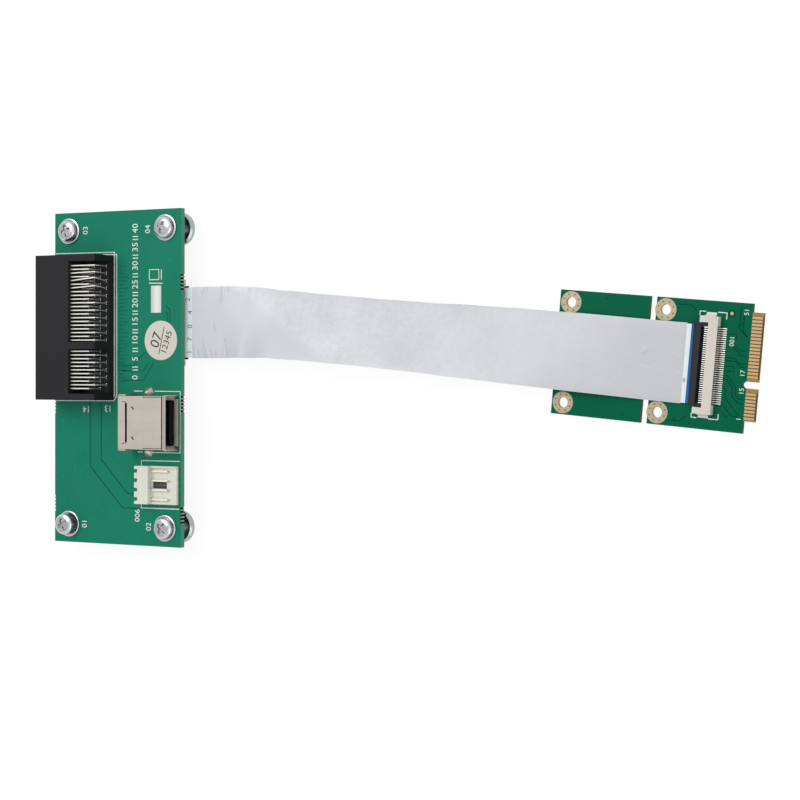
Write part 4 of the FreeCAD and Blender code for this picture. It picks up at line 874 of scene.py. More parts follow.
def cable_line():
    """Points of the cable's smooth line, read from a spline along its route."""
    stations = [on_board(x, y, z * MM) for x, y, z in CABLE_ROUTE]
    card_end = on_card(CABLE_END, 0, CARD_TOP + CABLE_END_RISE)
    level = Matrix.Rotation(CARD_TURN, 3, "Z") @ Vector((1, 0, 0))
    stations += [card_end - level * ((card_end.x - stations[-1].x) * CABLE_LAST_RUN), card_end]
    curve = bpy.data.curves.new("cable_route", "CURVE")
    curve.dimensions = "3D"
    curve.resolution_u = 48
    spline = curve.splines.new("NURBS")
    spline.points.add(len(stations) - 1)
    for point, place in zip(spline.points, stations):
        point.co = (*place, 1)
    spline.order_u = 3
    spline.use_endpoint_u = True
    return [vertex.co.copy() for vertex in baked(put("cable_route", curve), "cable_route").vertices]


def cable_mesh(line, width, thick):
    """A flat, slightly rippled band along the line, turned as it goes."""
    bm = bmesh.new()
    film = bm.loops.layers.uv.new("film")
    painted_crease_shade = bm.verts.layers.float.new("crease")
    shares = [step / CABLE_STEPS - 0.5 for step in range(CABLE_STEPS + 1)]
    rows = []
    laid = {}
    travelled = 0.0
    for k, spot in enumerate(line):
        ahead = line[min(k + 1, len(line) - 1)] - line[max(k - 1, 0)]
        ahead.normalize()
        if k:
            travelled += (spot - line[k - 1]).length
        flat = Vector((0, 0, 1)).cross(ahead).normalized()
        x = (spot.x - BOARD_X) / MM
        side = Matrix.Rotation(-twist_at(x), 3, ahead) @ flat
        normal = ahead.cross(side).normalized()
        lively = clamp((x - RIPPLES_IN[0]) / (RIPPLES_IN[1] - RIPPLES_IN[0]))
        lively *= clamp((RIPPLES_OUT[1] - x) / (RIPPLES_OUT[1] - RIPPLES_OUT[0]))
        row = []
        for face, share in [(1, share) for share in shares] + [(-1, share) for share in reversed(shares)]:
            across = share * width
            wave = sum(math.sin(travelled * along + share * over + start) * math.cos(share * waist) * height
                       for along, over, start, waist, height in RIPPLES)
            fold = max(nearness(travelled, across, width, crease, CREASE_SPREAD) for crease in CREASES)
            wave = wave * lively - fold * CREASE_DEPTH
            wave += sum(nearness(travelled, across, width, dent, dent[5]) * dent[4] for dent in DENTS)
            lift = normal * (wave + face * thick / 2 * (1 - (abs(share) * 2) ** 12 * 0.75))
            vertex = bm.verts.new(spot + side * across + lift)
            # How near the creases are, which the shield film shows as painted shade
            vertex[painted_crease_shade] = fold
            laid[vertex] = (travelled, across * face)
            row.append(vertex)
        rows.append(row)
    bridge(bm, rows)
    for face in bm.faces:
        for loop in face.loops:
            loop[film].uv = laid[loop.vert]
    bm.faces.new(rows[0])
    bm.faces.new(rows[-1][::-1])
    bmesh.ops.recalc_face_normals(bm, faces=bm.faces)
    return mesh_of(bm, "flat_cable", 50)


# Digits on the cable's white ends: their size, then each one's place in millimetres
CABLE_DIGITS = (0.0021, [("2", 21.75, 20.8), ("4", 22.5, 17.4), ("0", 22.5, 13.7), ("7", 22.4, 10.3),
                         ("1", 22.3, 6.9)])
CARD_END_DIGITS = (0.0012, [("8", 18.3, -4.0)])


class ADAPTER_OT_cable(bpy.types.Operator):
    """Flat cable: shielded band with its lazy twist, white ends and blue stiffeners"""

    bl_idname = "adapter.cable"
    bl_label = "Flat cable"

    def execute(self, context):
        look = context.scene.adapter_cable
        line = cable_line()
        band = cable_mesh(line, look.width, look.thick)
        cable = new_piece(band, "foil", "silver_film", ROOT, "cable_shield")
        dress(cable_board_end="white", cable_card_end="bright", cable_board_stiffener="blue",
              cable_card_stiffener="blue")
        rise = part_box("cable_board_end")[1].z + FILM_INK_RISE
        digits = numbers_on(on_board, CABLE_DIGITS, rise, math.pi / 2)
        joined("cable_numbers", digits, "cable_print", "white_film")
        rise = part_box("cable_card_end")[1].z + FILM_INK_RISE
        digits = numbers_on(on_card, CARD_END_DIGITS, rise, CARD_TURN)
        joined("cable_card_number", digits, "cable_print", "white_film")
        return {"FINISHED"}


# Etched traces on the slot board, in millimetres from its centre
BOARD_TRACES = [
    [(-8.98, -6.6), (-8.97, -24.0), (2.0, -35.05), (7.2, -35.1)],
    [(-5.23, -6.6), (-5.22, -22.15), (3.67, -31.2), (7.2, -31.1)],
]
LABEL_TRACES = [
    [(1.5, 3.4), (5.6, 3.4), (9.2, 6.9)],
    [(1.5, 1.9), (6.3, 1.9), (8.6, 1.9), (10.4, 3.9)],
    [(1.5, -0.6), (8.9, -0.6), (12.2, 4.2)],
    [(16.1, 19.3), (17.4, 18.2), (17.4, 14.9)],
    [(15.9, 17.6), (16.6, 16.9), (16.6, 15.2)],
]
# Fainter ones beside the slot
FAINT_TRACES = [[(0.6, 30.1 - k), (3.6 - 0.5 * (k % 3), 30.1 - k)] for k in range(32)]
# Vias of the slot board: columns under the slot, then loose ones
OUTER_COLUMN = (-11.8, -15.8, -20.0, -24.0, -27.3)
VIA_COLUMNS = {-18.2: OUTER_COLUMN, -14.1: OUTER_COLUMN, -9.8: (-15.7, -19.8, -23.8, -27.2),
               -7.45: (-10.0, -14.7, -18.5, -22.7)}
BOARD_VIAS = [(x, y) for x, column in VIA_COLUMNS.items() for y in column]
BOARD_VIAS += [(-14.0, -31.8), (-17.8, -33.3), (0.7, -21.3), (0.7, -23.5), (-3.3, -29.4), (-8.8, -32.6),
               (-6.3, -34.3), (-2.1, -9.9), (-8.2, -38.7), (5.4, -39.9), (17.4, 31.2), (15.9, 19.9),
               (16.9, 19.1)]
# Etched traces and vias on the mini card, in millimetres from its hole centre
CARD_TRACES = [
    [(30.4, 14.2), (30.3, 9.2), (32.4, 7.1)], [(31.3, 12.1), (31.3, 8.4), (32.5, 7.2)],
    [(28.0, 7.7), (29.8, 7.6), (29.8, 6.6)], [(29.2, 5.6), (30.8, 4.0), (32.4, 3.9)],
    [(29.2, 4.9), (31.2, 2.9), (32.6, 2.8)], [(27.6, 2.2), (30.0, 2.1), (31.0, 1.0), (32.6, 1.0)],
    [(27.6, 1.5), (30.2, 1.4), (31.3, 0.3), (32.6, 0.2)],
    [(27.6, 0.2), (29.9, 0.1), (29.9, -1.0), (27.6, -1.0)],
    [(27.6, -2.0), (28.6, -2.1), (30.6, -4.4), (30.6, -6.2), (31.7, -7.1), (32.6, -7.1)],
    [(27.6, -2.8), (28.4, -2.9), (29.9, -4.6), (29.9, -6.6), (31.5, -8.1), (32.6, -8.2)],
    [(27.6, -4.6), (28.4, -5.4), (28.4, -7.2), (32.0, -11.0)],
    [(27.6, -8.6), (30.2, -11.2), (31.9, -11.3)],
    [(11.5, -13.6), (17.8, -13.6), (19.2, -12.2)], [(11.5, 13.6), (18.4, 13.6), (19.6, 12.6)],
]
CARD_VIAS = [(28.9, -1.0), (30.9, 10.4), (30.6, 9.8), (28.4, -11.0), (28.9, -11.4), (20.2, -13.9),
             (14.0, 13.4), (16.5, -13.2), (-3, 13.6), (3.4, -13.5)]
VIA_PROFILE = [(0.00032, -0.00001), (0.00032, 0.000008), (0.00024, 0.000018), (0.00016, 0.000012),
               (0.0001, -0.000004)]
# Size of the card's traces and vias against the board's
CARD_TRACE_SHARE = 0.7
CARD_VIA_SHARE = 0.75


class ADAPTER_OT_boards(bpy.types.Operator):
    """Circuit boards: lacquer, etched traces and vias"""

    bl_idname = "adapter.boards"
    bl_label = "Circuit boards"

    def execute(self, context):
        width = context.scene.adapter_boards.trace_width
        dress(main_board="board", mini_card="card")
        for name, carrier, paths, height, finish, slot, share in (
                ("board_traces", on_board, BOARD_TRACES, BOARD_TOP, "trace", "board_green", 1),
                ("card_traces", on_card, CARD_TRACES, CARD_TOP, "card_trace", "card_green", CARD_TRACE_SHARE),
                ("label_traces", on_board, LABEL_TRACES, BOARD_TOP, "label_trace", "board_green", 1),
                ("faint_traces", on_board, FAINT_TRACES, BOARD_TOP, "faint_trace", "board_green", 1)):
            lines_piece(name, lines_on(carrier, paths, height + TRACE_RISE), finish, slot, width * share)
        via = lathe("via", VIA_PROFILE, 10)
        crowd_piece("board_vias", via, spots_on(on_board, BOARD_VIAS), "via", "board_green")
        spots = spots_on(on_card, CARD_VIAS)
        crowd_piece("card_vias", via.copy(), spots, "card_trace", "card_green", size=CARD_VIA_SHARE)
        return {"FINISHED"}


# Printed lines round the parts of the slot board, in millimetres from its centre
BOARD_LEGEND = [
    [(-20.7, 34.0), (-0.8, 33.9), (-0.8, 32.9)],
    [(-4.7, 33.3), (-0.05, 33.25), (-0.05, -4.9), (-1.0, -6.2), (-20.7, -6.3)],
    [(-0.86, 32.9), (-0.86, -5.2)],
    [(5.7, -3.55), (8.5, -3.55)], [(12.5, -3.55), (20.75, -3.58), (20.75, -19.85), (11.7, -19.9)],
    [(7.0, -19.85), (8.6, -19.85)],
    [(20.6, -22.1), (8.15, -22.15), (8.15, -34.85), (20.5, -34.8)],
    [(10.6, 25.3), (14.95, 25.2)], [(14.6, 26.2), (14.6, 28.9)],
    [(10.7, 26.2), (13.8, 26.2), (13.8, 28.9), (10.7, 28.9), (10.7, 26.2)],
]
# Two ticks after each number of the scale but the last one
SCALE_MARKS = range(0, 45, 5)
SCALE_TICKS = [[(7.0, mark + step), (5.2, mark + step)] for mark in SCALE_MARKS[:-1] for step in (2.1, 2.9)]
# Printed numbers: their size, then each one's place in millimetres
SCALE_NUMBERS = (0.0026, [(str(mark), 6.1, mark + 0.1) for mark in SCALE_MARKS])
SPOT_NUMBERS = (0.0023, [("03", -10.55, 40.1), ("04", 10.2, 39.75), ("01", -10.8, -39.8), ("02", 10.6, -39.8),
                         ("006", 6.9, -36.95)])
SLOT_NUMBERS = (0.0025, [("14", -10.2, -8.5), ("13", -2.9, -8.25)])
BLANK_BLOCK = [[(12.9, 17.4), (12.9, 24.6)]]
BLOCK_WIDTH = 0.0033
# Printed brackets and numbers round the card's cable socket, in millimetres from the hole centre
CARD_LEGEND = [
    [(22.0, 12.4), (20.55, 12.4), (20.55, 11.5)], [(24.9, 12.4), (27.1, 12.4), (27.1, 10.9)],
    [(21.9, -12.4), (20.55, -12.4), (20.55, -11.4)], [(24.7, -12.4), (27.1, -12.4), (27.1, -11.1)],
]
CARD_NUMBERS = (0.0016, [("51", 31.8, 12.95), ("17", 32.1, -1.2), ("15", 32.2, -5.3), ("1", 32.1, -11.75),
                         ("001", 28.9, 6.0)])
# Two numbers and a rule on the round label, and their slant
LABEL_LARGE = (0.0042, [("07", 13.1, 10.1)])
LABEL_SMALL = (0.0026, [("12345", 16.4, 9.5)])
LABEL_RULE = [[(13.9, 6.4), (15.6, 13.6)]]
LABEL_RULE_WIDTH = 0.00022
LABEL_SLANT = math.radians(70)


class ADAPTER_OT_legend(bpy.types.Operator):
    """Printed legend: outlines, a scale in millimetres, plain numbers and the round label's rule"""

    bl_idname = "adapter.legend"
    bl_label = "Printed legend"

    def execute(self, context):
        width = context.scene.adapter_boards.line_width
        upright = math.pi / 2
        rise = BOARD_TOP + INK_RISE
        lines = lines_on(on_board, BOARD_LEGEND + SCALE_TICKS, rise)
        lines_piece("board_legend", lines, "ink", "board_green", width)
        numbers = numbers_on(on_board, SCALE_NUMBERS, rise, upright)
        numbers += numbers_on(on_board, SPOT_NUMBERS, rise, upright)
        numbers += numbers_on(on_board, SLOT_NUMBERS, rise, math.pi)
        joined("board_numbers", numbers, "ink", "board_green")
        lines_piece("board_block", lines_on(on_board, BLANK_BLOCK, rise), "ink", "board_green", BLOCK_WIDTH)

        rise = CARD_TOP + INK_RISE
        lines_piece("card_legend", lines_on(on_card, CARD_LEGEND, rise), "ink", "card_green", width)
        numbers = numbers_on(on_card, CARD_NUMBERS, rise, CARD_TURN + upright)
        joined("card_numbers", numbers, "ink", "card_green")

        dress(round_label="paper")
        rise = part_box("round_label")[1].z + LABEL_RISE
        numbers = numbers_on(on_board, LABEL_LARGE, rise, LABEL_SLANT)
        numbers += numbers_on(on_board, LABEL_SMALL, rise, LABEL_SLANT)
        joined("label_numbers", numbers, "mark", "pale_label")
        rule = lines_on(on_board, LABEL_RULE, rise)
        lines_piece("label_rule", rule, "mark", "pale_label", LABEL_RULE_WIDTH)
        return {"FINISHED"}


# The slot's contacts in each row, the place of the first one, and where the key is and the places it takes
SLOT_CONTACTS = 32
SLOT_FIRST = 30.1
SLOT_KEY_AFTER = 21
SLOT_KEY_PLACES = 2
# Rows of contact tails: the first one's place and the step to the next, in millimetres
TAIL_ROW_X = -1.95
TAIL_ROW_STEP = 2
# Barbs on both sides of a tail, in millimetres from it
BARB_SIDES = (-0.29, 0.29)
BARB_PROFILE = [(0.00015, 0.0), (0.00015, 0.00016), (0.0, 0.0002)]


def slot_tails():
    """Places of the slot's contact tails, in four rows, in millimetres from the board's centre."""
    tails = []
    for number in range(SLOT_CONTACTS):
        place = SLOT_FIRST - number - (SLOT_KEY_PLACES if number >= SLOT_KEY_AFTER else 0)
        tails += [(TAIL_ROW_X - TAIL_ROW_STEP * row, place) for row in (number % 2, number % 2 + 2)]
    return tails


class ADAPTER_OT_slot(bpy.types.Operator):
    """Card slot: eased housing, tail guide, bright contacts and their barbs"""

    bl_idname = "adapter.slot"
    bl_label = "Card slot"

    def execute(self, context):
        eased_copy("slot_housing", "black", "black_moulding", width=0.00015, shortest=0.0016)
        dress(slot_tail_guide="black", slot_upper_contacts="contact", slot_lower_contacts="contact")
        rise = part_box("slot_tail_guide")[1].z
        spots = [on_board(x, y + side, rise) for x, y in slot_tails() for side in BARB_SIDES]
        crowd_piece("tail_barbs", lathe("barb", BARB_PROFILE, 6), spots, "solder", "tin_contact")
        return {"FINISHED"}


# Height of the port's roof, and what is on it, in millimetres from the board's centre
PORT_ROOF = BOARD_TOP + 0.00595
# Painted shade on the roof: dark lines along its two edges and two hooked ones near its back, one along its
# fold, and dots in its dimples
PORT_ROOF_SHADE = [[(12.9, -5.08), (18.9, -5.08)], [(12.9, -18.6), (18.9, -18.6)],
              [(7.62, -6.75), (7.3, -6.4), (6.1, -6.25)], [(7.62, -16.95), (7.3, -17.3), (6.1, -17.45)]]
PORT_FOLD = [[(18.98, -18.8), (18.98, -4.9)]]
PORT_LIP = [[(20.18, -18.6), (20.18, -5.1)]]
PORT_LIP_RISE = 0.00013
ROOF_SHADE_WIDTH = 0.00016
FOLD_WIDTH = 0.0003
LIP_SIZE = (0.00013, 0.0003)
PORT_DIMPLES = [(x, y + side) for side in (-4, 4) for x, y in ((9.4, -11.75), (9.75, -12.2))]
DIMPLE_PROFILE = [(0.00024, -0.00001), (0.00024, 0.000012), (0.0, 0.000014)]


class ADAPTER_OT_port(bpy.types.Operator):
    """Port: nickel sheet shell with its lip and painted shade along its roof's edges, fold and dimples, black
    tongue and contacts darkened as painted shade
    """

    bl_idname = "adapter.port"
    bl_label = "Port"

    def execute(self, context):
        eased_copy("usb_shell", "nickel", "nickel_shell", width=0.00012, shortest=0.0008)
        dress(usb_insulator="tongue", usb_contacts="port_contact")
        seams = lines_on(on_board, PORT_ROOF_SHADE, PORT_ROOF)
        lines_piece("port_seams", seams, "seam", "nickel_shell", ROOF_SHADE_WIDTH)
        fold = lines_on(on_board, PORT_FOLD, PORT_ROOF)
        lines_piece("port_fold", fold, "seam", "nickel_shell", FOLD_WIDTH)
        lip = lines_on(on_board, PORT_LIP, PORT_ROOF + PORT_LIP_RISE)
        lines_piece("port_lip", lip, "nickel", "nickel_shell", *LIP_SIZE)
        dimple = lathe("dimple_floor", DIMPLE_PROFILE, 8)
        spots = spots_on(on_board, PORT_DIMPLES, PORT_ROOF)
        crowd_piece("port_dimple_marks", dimple, spots, "seam", "nickel_shell")
        return {"FINISHED"}


# The header's middle line and its pins across the board, in millimetres, and the dark tips that show of them:
# partly their bare cut ends, partly painted shade
HEADER_Y = -28.55
PIN_PITCH = 2.5
PIN_ROW = [HEADER_Y + PIN_PITCH * (k - 1.5) for k in range(4)]
TIP_PROFILE = [(0.00014, 0.0), (0.00016, 0.00018), (0.0, 0.0002)]
PIN_TIP_BACK = 0.12
PIN_HEIGHT = BOARD_TOP + 0.00158
# Shade in the latch window, over the board
WINDOW_SHADE = [[(12.5, HEADER_Y), (17.5, HEADER_Y)]]
WINDOW_HEIGHT = BOARD_TOP + 0.0006
WINDOW_SIZE = (0.0019, 0.00004)


class ADAPTER_OT_header(bpy.types.Operator):
    """Power header: nylon body, plated pins and the shade in its latch window"""

    bl_idname = "adapter.header"
    bl_label = "Power header"

    def execute(self, context):
        eased_copy("power_header_body", "nylon", "white_moulding", width=0.00012, shortest=0.0007)
        dress(power_header_pins="brass")
        front = (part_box("power_header_pins")[1].x - BOARD_X) / MM - PIN_TIP_BACK
        spots = [on_board(front, y, PIN_HEIGHT) for y in PIN_ROW]
        # Dark pin tips: bare cut ends partly, painted shade partly
        crowd_piece("pin_tips", lathe("tip", TIP_PROFILE, 8), spots, "slate", "tin_contact")
        shade = lines_on(on_board, WINDOW_SHADE, WINDOW_HEIGHT)
        lines_piece("window_shade", shade, "slate", "white_moulding", *WINDOW_SIZE)
        return {"FINISHED"}


# Pan-head screw: head radius, heights of its rim and crown, shank with its thread
SCREW_HEAD = 0.0028
SCREW_RIM = 0.00095
SCREW_CROWN = 0.0016
SCREW_SEGMENTS = 96
SHANK_RADII = (0.00125, 0.00145)
SHANK_END = -0.006
THREAD_HALF_PITCH = 0.0002
# Cross recess: half width and reach of an arm and radius of the middle, each with its slope, and depth
RECESS_ARM = (0.00045, 0.00012)
RECESS_REACH = (0.00165, 0.0003)
RECESS_MIDDLE = (0.00078, 0.0002)
RECESS_DEPTH = 0.0006
# Painted dark reflection on the head's crown: darkest shade, and where it fades out; then the painted shade
# in the cross recess
PAINTED_CROWN_DARKEST = 0.5
PAINTED_CROWN_FADE = (0.0024, 0.0008)
PAINTED_RECESS_SHADE = 0.4
# Corner places of the slot board in millimetres, and the screws' turns; the first screw is backed out
CORNERS = [(-16, -40), (16, -40), (-16, 40), (16, 40)]
SCREW_TURNS = [(0, 0, math.radians(angle)) for angle in (28, 52, 17, 66)]
SCREW_LIFTS = (0.0012, 0, 0, 0)
WASHER_PROFILE = [(0.0016, 0.0), (0.0034, 0.0), (0.0035, 0.00006), (0.0035, 0.00042), (0.0034, 0.0005),
                  (0.0031, 0.0005), (0.0017, 0.0005), (0.0016, 0.00044)]
# Painted shade on the washers' inner part next to the heads, and how far out it reaches
WASHER_PAINTED_SHADE = 0.75
WASHER_PAINTED_SHADE_RADIUS = 0.0033


def inside(place, limit):
    """1 well inside a limit, 0 outside, with a slope between."""
    edge, slope = limit
    return clamp((edge - place) / slope)


def screw_mesh():
    """Pan-head screw with a cross recess and a threaded shank, its seat at height 0."""
    bm = bmesh.new()
    hollow = bm.verts.layers.float.new("hollow")
    profile = [(SHANK_RADII[turn % 2], SHANK_END + turn * THREAD_HALF_PITCH) for turn in range(30)]
    profile += [(SHANK_RADII[1], -0.0001), (0.00148, 0.0), (SCREW_HEAD * 0.9, 0.0), (SCREW_HEAD, 0.0002),
                (SCREW_HEAD, SCREW_RIM * 0.75)]
    shares = [0.992, 0.975, 0.95, 0.92, 0.88] + [k / 36 * 0.86 for k in range(36, -1, -1)]
    profile += [(SCREW_HEAD * share, SCREW_RIM + (SCREW_CROWN - SCREW_RIM) * (1 - share ** 4) ** 0.75)
                for share in shares]
    rings = []
    for radius, height in profile:
        ring = ring_of(bm, radius, height, SCREW_SEGMENTS)
        for vertex in ring if height > SCREW_RIM else ():
            arm, reach = sorted((abs(vertex.co.x), abs(vertex.co.y)))
            cut = max(inside(arm, RECESS_ARM) * inside(reach, RECESS_REACH), inside(radius, RECESS_MIDDLE))
            vertex.co.z -= cut * RECESS_DEPTH
            # Painted shade in the cross recess and painted dark reflection on the crown
            vertex[hollow] = max(PAINTED_RECESS_SHADE * cut, min(PAINTED_CROWN_DARKEST, inside(radius, PAINTED_CROWN_FADE)))
        rings.append(ring)
    bm.faces.new(rings[0][::-1])
    bridge(bm, rings)
    return mesh_of(bm, "screw", 32)


class ADAPTER_OT_fasteners(bpy.types.Operator):
    """Fasteners: cross-recess screws, washers and turned feet"""

    bl_idname = "adapter.fasteners"
    bl_label = "Fasteners"

    def execute(self, context):
        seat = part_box("corner_washers")[1].z
        spots = [on_board(x, y, seat + lift) for (x, y), lift in zip(CORNERS, SCREW_LIFTS)]
        crowd_piece("corner_screws_cut", screw_mesh(), spots, "screw", "zinc_steel", SCREW_TURNS,
                    nodes=["corner_screws"])
        washer = hoop("washer", WASHER_PROFILE, 64)
        # Painted shade on the washers near the heads
        hollow = washer.attributes.new("hollow", "FLOAT", "POINT")
        for point, vertex in zip(hollow.data, washer.vertices):
            point.value = WASHER_PAINTED_SHADE * (vertex.co.xy.length < WASHER_PAINTED_SHADE_RADIUS)
        crowd_piece("corner_washers_eased", washer, spots_on(on_board, CORNERS), "zinc", "zinc_steel",
                    nodes=["corner_washers"])
        dress(corner_feet="turned")
        return {"FINISHED"}


# The board's cable socket is the card's one turned over: places along both add up to this, in millimetres
BOARD_SOCKET_ALONG = 41.35
BOARD_SOCKET_Y = 14.7
# Spacing of a socket's contacts, in millimetres
SOCKET_PITCH = 0.5
# Nose of a socket lever: place along the card and height, in millimetres, where 0 along is its outermost edge
LEVER_NOSE = [(0.0, 1.97), (0.0, 2.1), (0.06, 2.2), (0.2, 2.28)]
LEVER_FRONT = 20.36
LEVER_FRONT_HEIGHTS = (2.42, 1.97)
LEVER_HALF = 9.75
# How far the nose stands out at either end of the lever, in millimetres
LEVER_REACH = {-1: 0.5, 1: 0.72}
# Teeth of the lever between the contacts: from and to along the card, and height, in millimetres
LEVER_COMB = (21.65, 23.14)
LEVER_COMB_HEIGHT = 2.46
LEVER_TEETH = [-8.5 + SOCKET_PITCH * k for k in range(35)]
TOOTH_SIZE = (0.00027, 0.00014)
# Finishes of a socket's CAD nodes
SOCKET_FINISHES = {"housing": "ivory", "contacts": "tin", "tabs": "tab", "lever": "lever"}
# Painted shade on the rear face of the card's socket between its contacts, and painted shade under its
# contacts: places along and across in millimetres
REAR_SHADE_ALONG = 25.76
REAR_SHADES = [-9.0 + SOCKET_PITCH * k for k in range(37)]
REAR_SHADE_HEIGHT = 0.0019
REAR_SHADE_SIZE = (0.00002, 0.00024)
CONTACT_SHADE = [[(26.25, -9.1), (26.25, 9.1)]]
CONTACT_SHADE_WIDTH = 0.001


def on_socket(owner, along, across, height):
    """A place on either cable socket, in millimetres as on the card's one."""
    if owner == "card":
        return on_card(along, across, height * MM)
    return on_board(BOARD_SOCKET_ALONG - along, BOARD_SOCKET_Y + across, BOARD_BASE + CARD_TOP - height * MM)


def lever_lip_mesh(owner):
    """Thin nose along the front of a lever, a little wider at one end."""
    bm = bmesh.new()
    ends = []
    for side, reach in LEVER_REACH.items():
        profile = [(LEVER_FRONT - reach + along, height) for along, height in LEVER_NOSE]
        profile += [(LEVER_FRONT, height) for height in LEVER_FRONT_HEIGHTS]
        places = [on_socket(owner, along, side * LEVER_HALF, height) for along, height in profile]
        ends.append([bm.verts.new(place) for place in places])
        bm.faces.new(ends[-1])
    bridge(bm, ends)
    bmesh.ops.recalc_face_normals(bm, faces=bm.faces)
    return mesh_of(bm, f"{owner}_lever_lip", 35)


class ADAPTER_OT_sockets(bpy.types.Operator):
    """Cable sockets: ivory housings, black levers, tinned contacts and tabs, and painted shade behind and
    under the card socket's contacts
    """

    bl_idname = "adapter.sockets"
    bl_label = "Cable sockets"

    def execute(self, context):
        for owner in ("board", "card"):
            dress(**{f"{owner}_socket_{part}": finish for part, finish in SOCKET_FINISHES.items()})
            lever = f"{owner}_lever"
            new_piece(lever_lip_mesh(owner), "lever", "black_moulding", lever)
            comb = [[on_socket(owner, along, across, LEVER_COMB_HEIGHT) for along in LEVER_COMB]
                    for across in LEVER_TEETH]
            lines_piece(f"{owner}_lever_comb", comb, "tongue", "black_moulding", *TOOTH_SIZE, lever)
        # Painted shade: dark strips on the socket's rear face between the contacts, and one under the
        # contacts
        rear_shade = [[on_card(REAR_SHADE_ALONG, across, CARD_TOP + height) for height in (0.0, REAR_SHADE_HEIGHT)]
                 for across in REAR_SHADES]
        lines_piece("card_rear_slots", rear_shade, "tongue", "ivory_moulding", *REAR_SHADE_SIZE)
        shade = lines_on(on_card, CONTACT_SHADE, CARD_TOP + SHADE_RISE)
        lines_piece("card_contact_shade", shade, "tongue", "card_green", CONTACT_SHADE_WIDTH)
        return {"FINISHED"}


# Holes of the mini card in millimetres, their plated rings, and the vias on a circle in each ring
CARD_HOLES = [(along, across) for along in (-12.075, 12.075) for across in (-12.1, 12.1)]
RING_RADIUS = 0.00265
BARREL_RADII = (0.00126, 0.001299)
RING_VIA_COUNT = 8
RING_VIA_OUT = 2.0
RING_ANGLES = [math.tau * (k + 0.5) / RING_VIA_COUNT for k in range(RING_VIA_COUNT)]
RING_VIAS = [(RING_VIA_OUT * math.cos(angle), RING_VIA_OUT * math.sin(angle)) for angle in RING_ANGLES]
RING_VIA_PROFILE = [(0.0002, 0.0), (0.0002, 0.000036), (0.00012, 0.00004)]
# Registration dot of the card and the dark moat round it
REGISTRATION = (28.25, 12.34)
DOT_PROFILE = [(0.00042, 0.0), (0.00042, TRIM_THICK), (0.0, TRIM_THICK)]
MOAT_PROFILE = [(0.00085, 0.0), (0.00085, 0.00001), (0.0, 0.00001)]


def ring_pad_mesh():
    """Plated hole of the card: a ring on each face and the barrel between them."""
    thick = CARD_TOP - CARD_BASE
    bore, seat = BARREL_RADII
    outer = [(RING_RADIUS, thick + TRIM_THICK), (bore, thick + TRIM_THICK), (bore, -TRIM_THICK),
             (RING_RADIUS, -TRIM_THICK)]
    inner = [(RING_RADIUS, 0.0), (seat, 0.0), (seat, thick), (RING_RADIUS, thick)]
    return hoop("ring_pad", outer + inner, 48)


class ADAPTER_OT_card_edge(bpy.types.Operator):
    """Mini card metal: edge fingers, ring pads with their vias and the registration dot"""

    bl_idname = "adapter.card_edge"
    bl_label = "Card metal"

    def execute(self, context):
        dress(edge_fingers_top="gold", edge_fingers_bottom="gold")
        spots = spots_on(on_card, CARD_HOLES, CARD_BASE)
        crowd_piece("card_ring_pads", ring_pad_mesh(), spots, "pad", "gold_contact")
        spots = [on_card(along + u, across + v) for along, across in CARD_HOLES for u, v in RING_VIAS]
        crowd_piece("card_pad_vias", lathe("pad_via", RING_VIA_PROFILE, 10), spots, "ring_dot", "card_green")
        spots = [on_card(*REGISTRATION)]
        dot = lathe("registration_dot", DOT_PROFILE, 24)
        crowd_piece("card_registration_dot", dot, spots, "pad", "gold_contact")
        moat = lathe("registration_moat", MOAT_PROFILE, 24)
        crowd_piece("card_registration_moat", moat, spots, "card_trace", "card_green")
        return {"FINISHED"}


# Solder bead under the slot board: shares of its radius and height, and its turn
BEAD_PROFILE = [(1, 0), (0.72, 0.25), (0.5, 0.6), (0.34, 0.92), (0, 1)]
UPSIDE_DOWN = (math.pi, 0, 0)
# The port's middle line, contacts and legs, in millimetres from the slot board's centre
PORT_Y = -11.85
PORT_PINS = [(6.75, PORT_Y + offset) for offset in (-3.5, -1, 1, 3.5)]
PORT_LEGS = [(10.55, PORT_Y + offset) for offset in (-6.95, 6.95)]
HEADER_PINS = [(8.3, y) for y in PIN_ROW]
# Beads by piece: places, radius and height
BEADS = {"slot_solder": (slot_tails(), 0.00058, 0.0009),
         "pin_solder": (HEADER_PINS + PORT_PINS, 0.00095, 0.001),
         "leg_solder": (PORT_LEGS, 0.0016, 0.0011)}
EAR_PROFILE = [(0.0016, 0.0), (0.0012, 0.0005), (0.0005, 0.0013), (0.0, 0.0017)]
EARS = [(10.6, -3.9), (10.6, -19.65)]


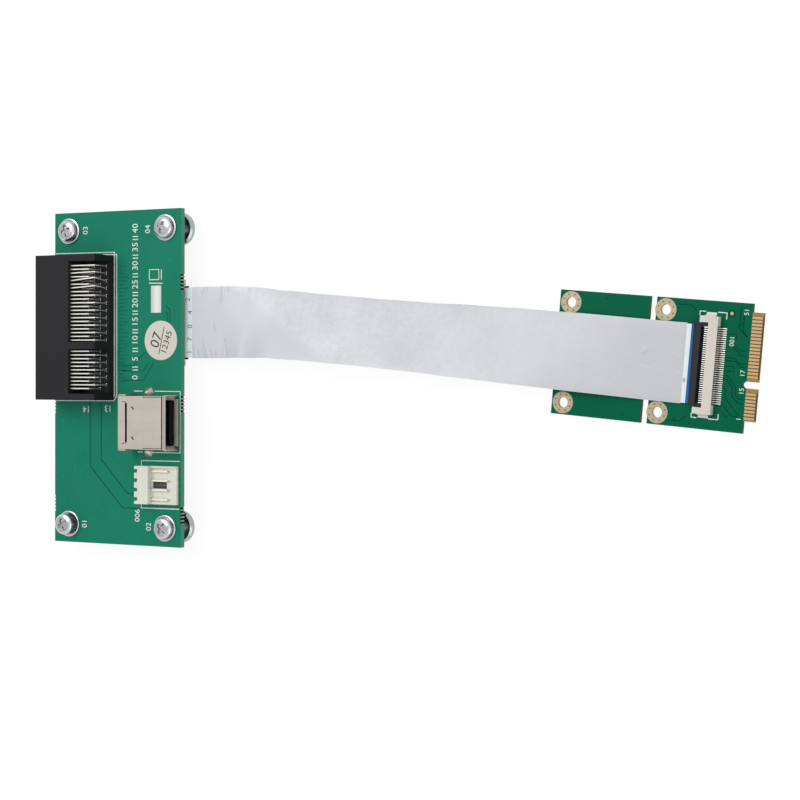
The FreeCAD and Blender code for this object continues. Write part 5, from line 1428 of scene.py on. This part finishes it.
class ADAPTER_OT_solder(bpy.types.Operator):
    """Solder: beads under the board and ears beside the port"""

    bl_idname = "adapter.solder"
    bl_label = "Solder"

    def execute(self, context):
        for name, (places, radius, height) in BEADS.items():
            bead = lathe("bead", [(radius * out, height * up) for out, up in BEAD_PROFILE], 10)
            spots = spots_on(on_board, places, BOARD_BASE)
            crowd_piece(name, bead, spots, "solder", "tin_contact", [UPSIDE_DOWN])
        ear = lathe("ear", EAR_PROFILE, 6)
        crowd_piece("port_ears", ear, spots_on(on_board, EARS), "tab", "tin_contact")
        return {"FINISHED"}


class ADAPTER_PT_panel(bpy.types.Panel):
    """Steps that dress the adapter, in order"""

    bl_idname = "ADAPTER_PT_panel"
    bl_label = "Slot adapter"
    bl_space_type = "VIEW_3D"
    bl_region_type = "UI"
    bl_category = "Adapter"

    def draw(self, context):
        for step in STEPS:
            self.layout.operator(step.bl_idname)
        for name, look in LOOKS.items():
            box = self.layout.box()
            for item in look.__annotations__:
                box.prop(getattr(context.scene, name), item)


STEPS = (ADAPTER_OT_stage, ADAPTER_OT_cable, ADAPTER_OT_boards, ADAPTER_OT_legend, ADAPTER_OT_slot,
         ADAPTER_OT_port, ADAPTER_OT_header, ADAPTER_OT_fasteners, ADAPTER_OT_sockets, ADAPTER_OT_card_edge,
         ADAPTER_OT_solder)
LOOKS = {"adapter_boards": BoardLook, "adapter_metals": MetalLook, "adapter_mouldings": MouldingLook,
         "adapter_cable": CableLook, "adapter_studio": StudioLook}


def register():
    for name, look in LOOKS.items():
        bpy.utils.register_class(look)
        setattr(bpy.types.Scene, name, bpy.props.PointerProperty(type=look))
    for item in (*STEPS, ADAPTER_PT_panel):
        bpy.utils.register_class(item)


def unregister():
    for item in (ADAPTER_PT_panel, *reversed(STEPS)):
        bpy.utils.unregister_class(item)
    for name, look in LOOKS.items():
        delattr(bpy.types.Scene, name)
        bpy.utils.unregister_class(look)


def main():
    register()
    make_finishes(bpy.context.scene)
    make_growths()
    for step in STEPS:
        family, name = step.bl_idname.split(".")
        getattr(getattr(bpy.ops, family), name)()


if __name__ == "__main__":
    main()
